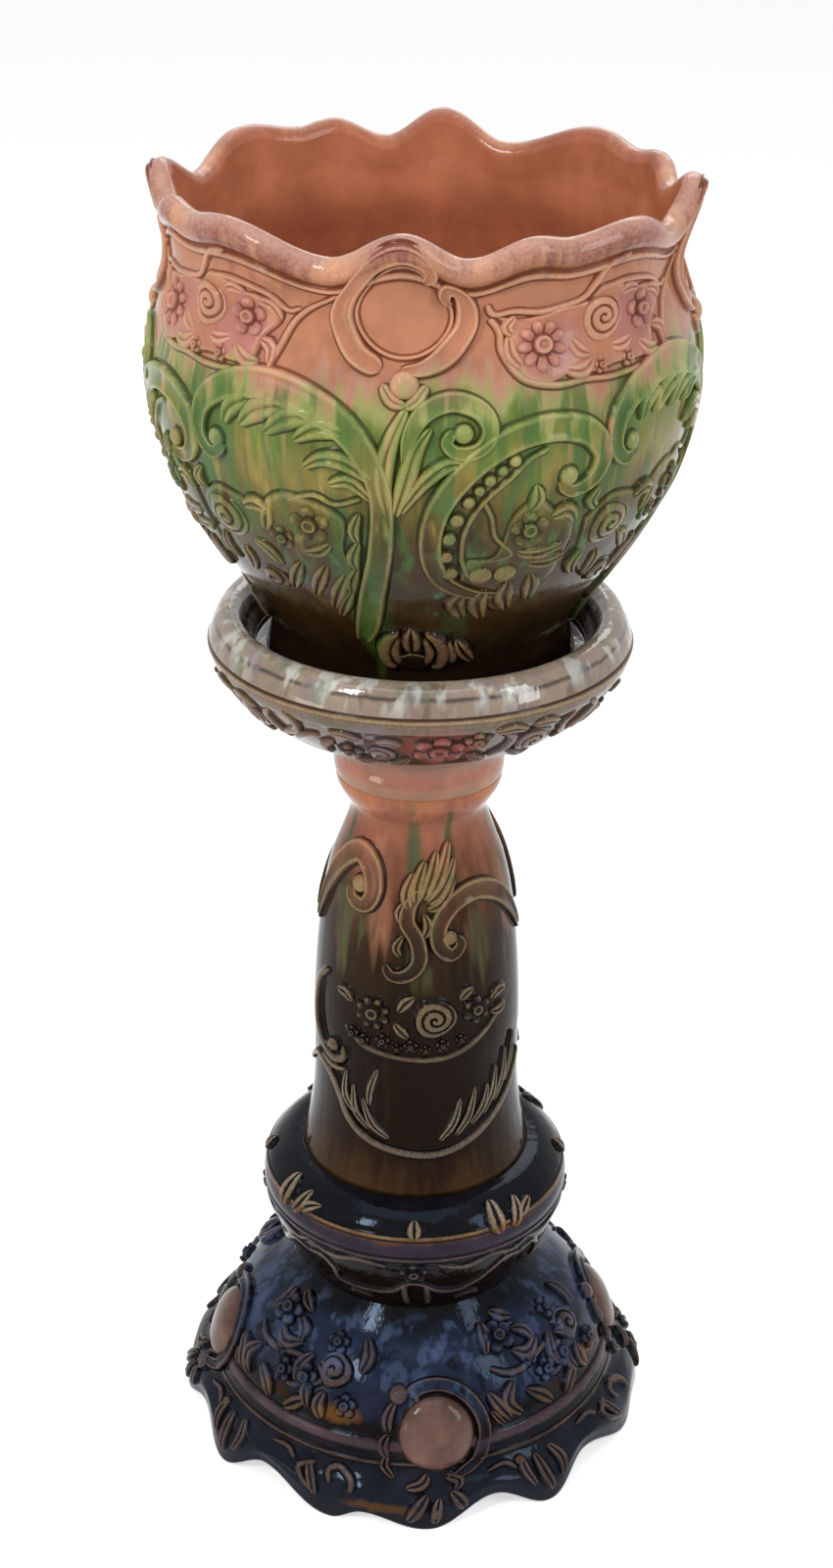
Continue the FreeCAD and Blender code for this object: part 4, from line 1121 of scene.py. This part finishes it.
def closed_shell(name, outer, inner, grid=PLAIN_MESH, wave=no_wave):
    """An open-ended hollow casting: outer face upwards, top ring, inner face down, foot ring."""
    top, bottom = [outer[0], inner[0]], [inner[-1], outer[-1]]
    pieces = [graded(outer[::-1], .4), graded(top, .4), graded(inner, .4), graded(bottom, .4)]
    return turned_shell(name, pieces, grid, wave, poles=False)


def make_dish():
    """The top dish: hollow below, with a flat well and a rolled rim."""
    floor = BOWL_BASE - SEAT_GAP
    pieces = [
        graded([(0, floor - WALL), (84, floor - WALL)], .4),
        graded([(84, floor - WALL), (104, 545), (90, 529.5), (70, 521), (52, 510), (44, 496),
                (43, 484), (43.5, 474)], .4),
        graded([(43.5, 474), (52, 474)], .4),
        graded([(52, 474), (52.6, 480), (51, 488), (51, 492)], .4),
        graded([(51, 492), (54, 500), (62, 507), (75, 512), (88, 516.8), (98, 521.5)], .5),
        graded([(98, 521.5), (109.5, 533), (117, 543), (121.4, 549.5)], .4),
        # The crease under the rim's roll is dark and the roll's top light: pooled and thin glaze,
        # with painted shade and painted highlight.
        [(121.4, 549.5, .9, 0), (124.4, 552, .4, 0), (126.5, 559, .25, 0), (125, 567, .35, 0),
         (119.6, 577, .3, 0), (113, 580, .2, 0), (107.5, 577.4, .3, 0), (104, 571.6, .5, 0)],
        # Painted shade under the bowl: the well's inner wall and floor get high pool-and-shade
        # values, darker than the rim.
        graded([(104, 571.6), (101, 563), (98.6, 557.5)], .75),
        graded([(98.6, 557.5), (97, floor), (0, floor)], .8),
    ]
    shell = turned_shell("glazed_top_dish", pieces)
    return finish_piece(shell, PEDESTAL, dish_glaze(), "top_dish")


def make_column():
    """The tapered column, thinned evenly by the wall inside."""
    inner = [(r - WALL, z) for r, z in COLUMN_OUTLINE]
    shell = closed_shell("glazed_column", COLUMN_OUTLINE, inner)
    return finish_piece(shell, PEDESTAL, column_glaze(), "column")


def make_collar():
    """The bulged collar between column and foot."""
    inner = [(67, 202), (75, 193), (84, 189), (90.5, 182), (91.5, 175), (88.6, 163), (84, 150),
             (77, 137), (69, 126), (67, 115)]
    shell = closed_shell("glazed_collar", COLLAR_OUTLINE, inner)
    return finish_piece(shell, PEDESTAL, foot_glaze(), "collar")


def make_foot():
    """The domed foot with its lobed skirt."""
    inner = [(67, 115), (84, 95.5), (98, 84), (109.6, 71), (118, 57), (122.6, 45), (126, 37),
             (131, 26), (138, 19), (145, 11), (148.4, 0)]
    shell = closed_shell("glazed_foot", FOOT_OUTLINE, inner, WAVY_MESH, skirt_wave)
    return finish_piece(shell, PEDESTAL, foot_glaze(), "foot")


def relief(heap, name, copies, node, maker=column_relief_glaze):
    """Relief of the pedestal, repeated round the axis."""
    return finish_piece(heap.mesh(name, copies), PEDESTAL, maker(), node)


def bowl_relief(heap, name, node):
    """Relief of the bowl, repeated round the axis in the bowl's own glaze."""
    return finish_piece(heap.mesh(name, SECTORS), JARDINIERE, bowl_glaze(),
                        node)


# --------------------------------------------------------------------- pedestal's relief
def make_dish_sprays():
    """Shell flower, roses and curled leaves on the dish's raking side, under a fine edge."""
    heap = Heap(dish_wall)
    daisy(heap, (5.5, 539), 15, 6, 3.2)
    daisy(heap, (16, 546), 8.5, 5, 2.8)
    rose(heap, (34, 538), 12, 3.6)
    daisy(heap, (-20.5, 533), 8, 5, 2.6)
    rose(heap, (-11, 534), 8, 3.2, 1.8)
    drawn(heap, 2.8, ROUND,
          [(-38.5, 554.5, 4), (-35.5, 550, 6), (-36.5, 542, 7), (-42, 536, 6), (-47, 532, 4)],
          [(-29, 543, 4), (-35, 539, 7), (-39.5, 533, 6)],
          [(-25, 540, 6), (-29, 534, 8), (-28, 527, 5)],
          [(23, 550, 4), (26.5, 544, 7), (25, 535, 7), (20.5, 530, 5)],
          [(46, 552, 4), (43.5, 546, 7), (45, 538, 7), (49, 532, 5)])
    drawn(heap, 3.0, LEAF, [(20, 552, 5), (25, 553.5, 8), (30, 550, 4)],
          [(14, 534, 5), (17.5, 530, 9), (21, 526, 4)],
          [(31, 552, 5), (36, 552.5, 8), (40.5, 549, 4)],
          [(28, 531, 5), (32, 527, 8), (37, 527, 4)],
          [(-5, 543, 5), (-8, 546.5, 8), (-12, 545, 4)],
          [(-3, 531, 5), (-6, 527, 8), (-10, 526, 4)],
          [(-16, 545, 4), (-20, 549, 7), (-25, 548, 4)],
          [(-13, 528, 4), (-17, 525.5, 7), (-21, 526, 4)])
    belt(heap, 560.5, 3.2, 1.0)
    return relief(heap, "relief_dish_sprays", SECTORS, "dish_sprays", dish_relief_glaze)


def make_scroll_frames():
    """Two volutes that roll outwards from the plume, and the broken curves below them."""
    heap = Heap(column_wall)
    drawn(heap, 3.8, BAND,
          [(-78, 372, 5), (-70, 398, 11), (-60, 420, 15), (-47, 430, 16), (-34.5, 425, 15),
           (-28.5, 412, 13), (-32.5, 401, 11), (-42, 402, 9), (-46, 410, 7)],
          [(80, 366, 5), (67, 390, 11), (54, 404, 14), (38, 409.5, 14), (22.5, 405, 13),
           (13, 393, 12), (12.5, 380, 11), (19, 372.5, 10), (25, 378, 8), (23, 384, 6)])
    drawn(heap, 3.6, ROUND,
          [(-58, 346, 5), (-65, 338, 7), (-68, 322, 7), (-66, 305, 8), (-60, 293, 8),
           (-50, 287, 8), (-42, 292, 7), (-43, 299, 6)],
          [(-82, 266, 4), (-68, 280, 6), (-54, 275, 7), (-45, 262, 7), (-39, 249, 7),
           (-27, 238.5, 7), (-8, 232.5, 7), (12, 231, 7), (32, 238, 7), (50, 251, 7), (63, 266, 7),
           (72, 284, 6)], [(-62, 284, 4), (-52, 281, 6), (-42, 282, 4)])
    for azimuth, height, radius in ((-39.5, 412, 6), (18.5, 383.5, 5.4), (-50, 297, 5)):
        dome(heap, (azimuth, height), radius, 4.6)
    return relief(heap, "relief_column_scroll_frames", COLUMN_FACES, "column_scroll_frames")


def make_plumes():
    """An S-shaped stem that opens into leaf tips between the volutes."""
    heap = Heap(column_wall)
    drawn(heap, 4.0, BAND,
          [(-18, 366, 5), (-14, 359.5, 8), (-6, 360, 10), (1, 369, 11), (0, 383, 11),
           (-6, 395, 11), (-4, 406, 9), (3, 414, 6)])
    drawn(heap, 3.8, LEAF, [(-5, 402, 6), (-7, 412, 9), (-3, 424, 4)],
          [(-1, 406, 6), (0, 418, 9), (5, 431, 4)], [(3, 408, 6), (8, 419, 10), (14, 436, 4)],
          [(6, 410, 6), (14, 420, 10), (24, 441, 4)], [(6, 406, 6), (16, 414, 10), (27, 431, 4)],
          [(6, 402, 5), (15, 406, 8), (25, 419, 3)], [(-9, 393, 4), (-11, 400, 7), (-8, 407, 3)],
          [(3, 384, 4), (6.5, 392, 8), (4, 400, 3)], [(-9, 372, 4), (-12, 378, 7), (-8, 386, 3)])
    return relief(heap, "relief_column_plumes", COLUMN_FACES, "column_leaf_plumes")


def make_garlands():
    """A swag of flowers across the column, on a thin string with small fruits."""
    heap = Heap(column_wall)
    drawn(heap, 2.4, ROUND,
          [(-42, 316, 3), (-30, 306.5, 4.6), (-12, 302, 5), (8, 300.5, 5), (22, 303, 5),
           (38, 312, 5), (56, 328, 4)])
    daisy(heap, (-24, 331), 11.5, 8, 3.8)
    rose(heap, (10, 330), 13.5, 5.2)
    daisy(heap, (34, 331), 10, 6, 3.4)
    drawn(heap, 3.0, LEAF, [(-10, 334, 5), (-6, 341, 9), (-1, 345, 4)],
          [(-12, 326, 5), (-8, 321, 8), (-4, 316, 4)], [(24, 340, 5), (28, 345, 8), (33, 346, 4)],
          [(44, 334, 5), (50, 338, 9), (57, 337, 4)], [(44, 325, 5), (50, 324, 9), (56, 328, 4)],
          [(-37, 334, 5), (-42, 339, 9), (-49, 339, 4)])
    fruits = [(-36, 313, 5), (-29, 310.5, 4.4), (-18, 313, 5), (-10, 309, 3.6), (-3, 311, 4.6),
              (5, 308.5, 3.4), (14, 311, 4.4), (24, 313, 3.8)]
    for azimuth, height, radius in fruits:
        daisy(heap, (azimuth, height), radius, 5, 3.2, .45)
    return relief(heap, "relief_column_garlands", COLUMN_FACES, "column_garlands")


def make_fronds():
    """Long leaf fingers that rise inside the cartouche's lower curve."""
    heap = Heap(column_wall)
    drawn(heap, 3.0, LEAF, [(13, 240, 4), (21, 252, 7), (25, 268, 3)],
          [(22, 242, 4), (30, 255, 7), (34, 273, 3)], [(31, 247, 4), (39, 258, 7), (43, 272, 3)],
          [(39, 251, 4), (46, 265, 7), (49, 283, 3)], [(47, 257, 4), (54, 272, 7), (57, 292, 3)],
          [(56, 266, 4), (62, 282, 7), (65, 300, 3)],
          [(-14, 241, 4), (-24, 250, 7), (-30, 266, 3)],
          [(-25, 245, 4), (-34, 256, 7), (-36, 274, 3)],
          [(-32, 252, 4), (-41, 264, 7), (-41, 282, 3)],
          [(-26, 262, 4), (-25, 275, 6), (-21, 290, 3)])
    return relief(heap, "relief_column_fronds", COLUMN_FACES, "column_fronds")


def make_collar_leaves():
    """Leaf finials on the shoulder, the band's lower edge, and scalloped drapery below it."""
    heap = Heap(collar_wall)
    drawn(heap, 3.2, LEAF, [(33.5, 181, 6), (32.5, 189, 15), (32.5, 199, 7)],
          [(39, 182, 5), (42, 189, 11), (44, 197, 4)], [(0, 186, 6), (0, 190, 12), (0, 196, 5)],
          [(-47, 186, 5), (-44, 190, 9), (-39, 193, 3)])
    drawn(heap, 2.2, ROUND,
          [(-45, 156, 3), (-38, 158, 4), (-33, 150, 5), (-32, 140, 5), (-26, 137.5, 5),
           (-16, 137, 5), (-8, 140, 5), (-3, 148, 4), (3, 148, 4), (10, 140, 5), (18, 138, 5),
           (26, 144, 5), (33, 153, 5), (38, 158, 4), (45, 156, 3)],
          [(-44, 168, 4), (-32, 163, 6), (-21, 167, 6), (-10, 164.5, 4)],
          [(9, 166, 4), (20, 162, 6), (30, 167, 6), (40, 163, 5), (47, 168, 4)],
          [(-30, 126, 3), (-25, 131, 5), (-18, 126, 4)],
          [(18, 126, 4), (26, 131, 5), (31, 124, 3)], [(-4, 146, 5), (-3.4, 133, 6), (-3, 121, 5)],
          [(5, 146, 5), (6, 133, 6), (7, 121, 5)])
    daisy(heap, (0, 160.5), 9, 5, 3.6, .3)
    belt(heap, 170.5, 4, 1.4)
    belt(heap, 186.5, 3, .9)
    return relief(heap, "relief_collar_leaves", SECTORS, "collar_leaves", foot_glaze)


FOOT_BOSS = (7.0, 55.2)


def make_foot_medallions():
    """Smooth round bosses that cross the moulding of the foot."""
    heap = Heap(foot_wall)
    dome(heap, FOOT_BOSS, 24.4, 7.5, ring=64, rows=18)
    boss, pool_shade = hue("boss"), deeper(hue("dark"), .4)
    glaze_of_boss = glaze("majolica_boss", [(90, deeper(boss, .6)), (66, deeper(boss, .8)),
                                            (40, deeper(boss, 1.25))],
                          [(90, pool_shade), (30, pool_shade)],
                          [(90, boss), (30, deeper(boss, 1.5))], 6.0, .6)
    piece = heap.mesh("relief_foot_medallions", SECTORS)
    return finish_piece(piece, PEDESTAL, glaze_of_boss, "foot_medallions")


def make_medallion_frames():
    """A hooked arc close round each boss, with a ball at its open end, and curls below."""
    heap = Heap(foot_wall)
    sketched(heap, FOOT_BOSS, 4.6, BAND, arc(31, 128, -56, 9.5) + [(9, -30, 6), (6, -25, 4)])
    sketched(heap, FOOT_BOSS, 4.2, ROUND, arc(27.6, 112, -30, 2.6),
             arc(4.6, 200, -40, 4, (-17, 23)))
    sketched(heap, FOOT_BOSS, 4.0, LEAF, [(-28, 20, 5), (-32, 10, 9), (-31, 0, 6)],
             [(-31, 0, 6), (-34, -8, 9), (-31, -16, 6)],
             [(-31, -14, 5), (-32, -22, 8), (-26, -30, 4)],
             [(-6, -26, 6), (-10, -33, 9), (-19, -36, 5)],
             [(4, -28, 6), (12, -34, 9), (9, -40, 4)], [(38, 20, 5), (44, 10, 10), (51, -1, 5)],
             [(38, 8, 4), (42, 2, 6), (46, -3, 3)])
    dome(heap, FOOT_BOSS, 6.8, 5.6, (-25.5, 25))
    return relief(heap, "relief_foot_medallion_frames", SECTORS, "foot_medallion_frames",
                  foot_glaze)


def make_foot_shells():
    """A shell on the front lobe of the skirt, curls and fans on the others."""
    heap = Heap(foot_wall)
    drawn(heap, 3.2, LEAF, [(4, 22, 6), (1.5, 14, 10), (-1, 5, 5)],
          [(7, 20, 6), (6, 12, 9), (5.6, 4, 5)], [(10, 22, 6), (12, 14, 10), (13, 5, 5)],
          [(30, 31, 5), (30, 22, 9), (32, 13, 5)], [(34, 30, 5), (35, 20, 10), (36.5, 8, 5)],
          [(39, 31, 5), (41, 21, 9), (40, 11, 5)], [(62, 30, 5), (64, 21, 9), (66, 12, 5)])
    drawn(heap, 3.2, ROUND,
          [(-15, 17, 4), (-15.5, 25, 6), (-19, 31, 6), (-22, 28, 5), (-21, 22, 4)],
          [(-26, 30, 5), (-30, 24, 6), (-28, 17, 5), (-24, 14, 4)],
          [(50, 30, 4), (55, 31, 6), (58, 26, 5)], [(20, 27, 4), (25, 30, 6), (28, 25, 5)])
    dome(heap, (29.5, 29), 4, 3, ring=16, rows=6)
    dome(heap, (6, 11), 3.4, 3.6, ring=16, rows=6)
    return relief(heap, "relief_foot_shells", SECTORS, "foot_shells", foot_glaze)


def make_foot_flowers():
    """Flowers and leaves strewn over the dome, above a round moulding."""
    heap = Heap(foot_wall)
    belt(heap, 47, 8.5, 1.3)
    belt(heap, 36.5, 3, .8)
    daisy(heap, (34, 95.5), 11.5, 5, 5.4)
    rose(heap, (-26.5, 82.5), 11.5, 6.2, 1.8)
    daisy(heap, (54.5, 74), 9.5, 5, 5.4)
    daisy(heap, (46, 72), 8, 5, 4.6)
    daisy(heap, (-20.5, 66.5), 8, 5, 4.6)
    daisy(heap, (-29, 94), 8, 5, 3.8)
    daisy(heap, (41.5, 82), 6.5, 5, 3.8)
    drawn(heap, 4.2, LEAF, [(33, 75, 5), (29.5, 65, 12), (33.5, 55, 5)],
          [(37, 88, 5), (42, 84, 11), (48, 88, 5)], [(37, 67, 5), (41.5, 60, 11), (44.5, 53, 5)],
          [(57, 63, 5), (53.5, 58, 11), (50, 52, 5)],
          [(-18, 99, 5), (-16, 91.5, 11), (-17.5, 84, 5)],
          [(-28, 71, 5), (-29, 62.5, 11), (-27, 55, 5)], [(29, 104, 5), (29, 98, 10), (27, 90, 4)],
          [(35, 107, 5), (39, 103, 10), (44, 100, 4)], [(41, 96, 5), (45.5, 93, 10), (47, 87, 4)],
          [(57, 84, 5), (61, 80, 10), (63.5, 73, 4)], [(-36, 86, 5), (-39, 78, 10), (-38, 69, 4)],
          [(-34, 74, 5), (-34, 66, 10), (-32, 58, 4)])
    drawn(heap, 2.6, ROUND, [(-42, 66, 3), (-37, 68, 5), (-32, 73, 5), (-29, 77, 4)],
          [(27, 84, 3), (32, 79.5, 5), (38, 78.5, 5), (46, 81.5, 5), (53, 83, 4)])
    return relief(heap, "relief_foot_flowers", SECTORS, "foot_flowers", foot_glaze)


# ------------------------------------------------------------------------------ the stage
FLOOR_HALF = 6.0       # metres from the middle of the floor to its edge
GROUND_LIGHT = .4      # strength of the world for the rays that don't see it directly
FLOOR_GLOW = .6        # what the floor adds for the rays that do
LAMPS = (              # name, place, target, size, power, colour
    ("key", (-1.3, -1.5, 2.1), (0, 0, .45), (.35, .6), 26, (1, 1, 1)),
    ("fill", (1.7, -1.1, 1.5), (0, 0, .4), (.5, 1.2), 18, (.95, .97, 1)),
    ("sky", (-.2, -.6, 3.2), (0, 0, .3), (2.6, 1.8), 30, (.72, .84, 1)),
    ("rim", (.4, 1.8, 2.0), (0, 0, .5), (1.6, 1.0), 16, (1, 1, 1)),
    ("low", (-1.5, -1.0, .5), (0, 0, .1), (.6, .5), 5, (1, .9, .72)),
)
# The photo's camera, fitted to the lip, the dish and the foot. Angles are in degrees.
CAMERA_PLACE = (0, -1.386, 1.1656)
CAMERA_TILT, CAMERA_ROLL = 62.99, .6
CAMERA_LENS, CAMERA_FILM, CAMERA_SHIFT = 57.98, 36, -.0015


def area_light(name, place, target, size, power, colour):
    light = bpy.data.lights.new(name, "AREA")
    light.shape = "RECTANGLE"
    light.size, light.size_y = size
    light.energy = power
    light.color = colour
    lamp = bpy.data.objects.new(name, light)
    bpy.context.scene.collection.objects.link(lamp)
    direction = Vector(target) - Vector(place)
    turn = direction.to_track_quat("-Z", "Y").to_matrix().to_4x4()
    lamp.matrix_world = Matrix.Translation(place) @ turn


def seen_direct(n):
    """1 for the rays that show the background itself, by sight, in gloss or through glass."""
    light = n.add("ShaderNodeLightPath")
    seen = n.math("MAXIMUM", light.outputs["Is Camera Ray"], light.outputs["Is Glossy Ray"])
    return n.math("MAXIMUM", seen, light.outputs["Is Transmission Ray"])


def white_ground():
    """Pale floor: the camera and the gloss see plain white, darkened by the object's shadow."""
    material = bpy.data.materials.new("studio_floor")
    material.use_nodes = True
    n = Nodes(material.node_tree)
    surface = n.tree.nodes["Principled BSDF"]
    surface.inputs["Base Color"].default_value = (.8, .8, .8, 1)
    surface.inputs["Roughness"].default_value = .9
    surface.inputs["Specular IOR Level"].default_value = .1
    surface.inputs["Emission Color"].default_value = (1, 1, 1, 1)
    n.link(n.times(seen_direct(n), FLOOR_GLOW), surface.inputs["Emission Strength"])
    return material


def make_stage():
    """The floor, the world, the lamps and the camera."""
    scene = bpy.context.scene
    half = FLOOR_HALF
    mesh = bpy.data.meshes.new("studio_floor")
    mesh.from_pydata([(-half, -half, 0), (half, -half, 0), (half, half, 0), (-half, half, 0)], [],
                     [(0, 1, 2, 3)])
    floor = bpy.data.objects.new("studio_floor", mesh)
    scene.collection.objects.link(floor)
    mesh.materials.append(white_ground())

    world = bpy.data.worlds.new("studio")
    scene.world = world
    world.use_nodes = True
    n = Nodes(world.node_tree)
    backdrop = n.tree.nodes["Background"]
    strength = n.plus(n.times(seen_direct(n), 1 - GROUND_LIGHT), GROUND_LIGHT)
    n.link(strength, backdrop.inputs["Strength"])
    backdrop.inputs["Color"].default_value = (1, 1, 1, 1)

    for lamp in LAMPS:
        area_light(*lamp)

    view = bpy.data.cameras.new("photo_view")
    view.sensor_fit = "VERTICAL"
    view.sensor_height = CAMERA_FILM
    view.lens = CAMERA_LENS
    view.shift_x = CAMERA_SHIFT
    camera = bpy.data.objects.new("photo_view", view)
    scene.collection.objects.link(camera)
    tilt = Euler((math.radians(CAMERA_TILT), 0, 0)).to_matrix()
    tilt = tilt @ Matrix.Rotation(math.radians(CAMERA_ROLL), 3, "Z")
    camera.matrix_world = Matrix.Translation(CAMERA_PLACE) @ tilt.to_4x4()
    scene.camera = camera
    scene.view_settings.view_transform = "Standard"


# ----------------------------------------------------------------------------- operators
class DresserOperator:
    """Calls the makers of one group of pieces."""

    bl_options = {"REGISTER", "UNDO"}
    makers = ()

    def execute(self, context):
        for maker in self.makers:
            maker()
        return {"FINISHED"}


class JARD_OT_bowl(DresserOperator, bpy.types.Operator):
    """Model the glazed bowl with its wavy rolled lip"""
    bl_idname = "jardiniere.bowl"
    bl_label = "Bowl"
    makers = (make_bowl,)


class JARD_OT_bowl_relief(DresserOperator, bpy.types.Operator):
    """Model the relief on the bowl: rings, sprays, scrolls, leaves and roses"""
    bl_idname = "jardiniere.bowl_relief"
    bl_label = "Bowl Relief"
    makers = (make_medallions, make_flower_sprays, make_acanthus, make_leaf_curls,
              make_beaded_scrolls, make_lower_sprays, make_belly_roses, make_foot_rosettes)


class JARD_OT_pedestal(DresserOperator, bpy.types.Operator):
    """Model the pedestal's glazed sections: top dish, column, collar and foot"""
    bl_idname = "jardiniere.pedestal"
    bl_label = "Pedestal"
    makers = (make_dish, make_column, make_collar, make_foot)


class JARD_OT_column_relief(DresserOperator, bpy.types.Operator):
    """Model the relief on dish and column: sprays, scroll frames, plumes, garlands, fronds"""
    bl_idname = "jardiniere.column_relief"
    bl_label = "Dish and Column Relief"
    makers = (make_dish_sprays, make_scroll_frames, make_plumes, make_garlands, make_fronds)


class JARD_OT_foot_relief(DresserOperator, bpy.types.Operator):
    """Model the relief on collar and foot: leaves, medallions, frames, shells, flowers"""
    bl_idname = "jardiniere.foot_relief"
    bl_label = "Collar and Foot Relief"
    makers = (make_collar_leaves, make_foot_medallions, make_medallion_frames, make_foot_shells,
              make_foot_flowers)


class JARD_OT_stage(DresserOperator, bpy.types.Operator):
    """Set up the white floor, the lamps and the photo's camera"""
    bl_idname = "jardiniere.stage"
    bl_label = "Stage"
    makers = (make_stage,)


OPERATORS = (JARD_OT_bowl, JARD_OT_bowl_relief, JARD_OT_pedestal, JARD_OT_column_relief,
             JARD_OT_foot_relief, JARD_OT_stage)


class JARD_PT_dresser(bpy.types.Panel):
    """Sizes, colours and makers of the jardiniere's dress"""
    bl_idname = "JARD_PT_dresser"
    bl_label = "Jardiniere"
    bl_space_type = "VIEW_3D"
    bl_region_type = "UI"
    bl_category = "Jardiniere"

    def draw(self, context):
        for settings in (context.scene.jardiniere_sizes, context.scene.jardiniere_colours):
            column = self.layout.column(align=True)
            for key in settings.__annotations__:
                column.prop(settings, key)
        column = self.layout.column()
        for operator in OPERATORS:
            column.operator(operator.bl_idname)


CLASSES = (JARD_PG_sizes, JARD_PG_colours, *OPERATORS, JARD_PT_dresser)


def register():
    for cls in CLASSES:
        bpy.utils.register_class(cls)
    bpy.types.Scene.jardiniere_sizes = bpy.props.PointerProperty(type=JARD_PG_sizes)
    bpy.types.Scene.jardiniere_colours = bpy.props.PointerProperty(type=JARD_PG_colours)


def unregister():
    del bpy.types.Scene.jardiniere_sizes, bpy.types.Scene.jardiniere_colours
    for cls in reversed(CLASSES):
        bpy.utils.unregister_class(cls)


def main():
    register()
    for operator in OPERATORS:
        getattr(bpy.ops.jardiniere, operator.bl_idname.split(".")[1])()


if __name__ == "__main__":
    main()
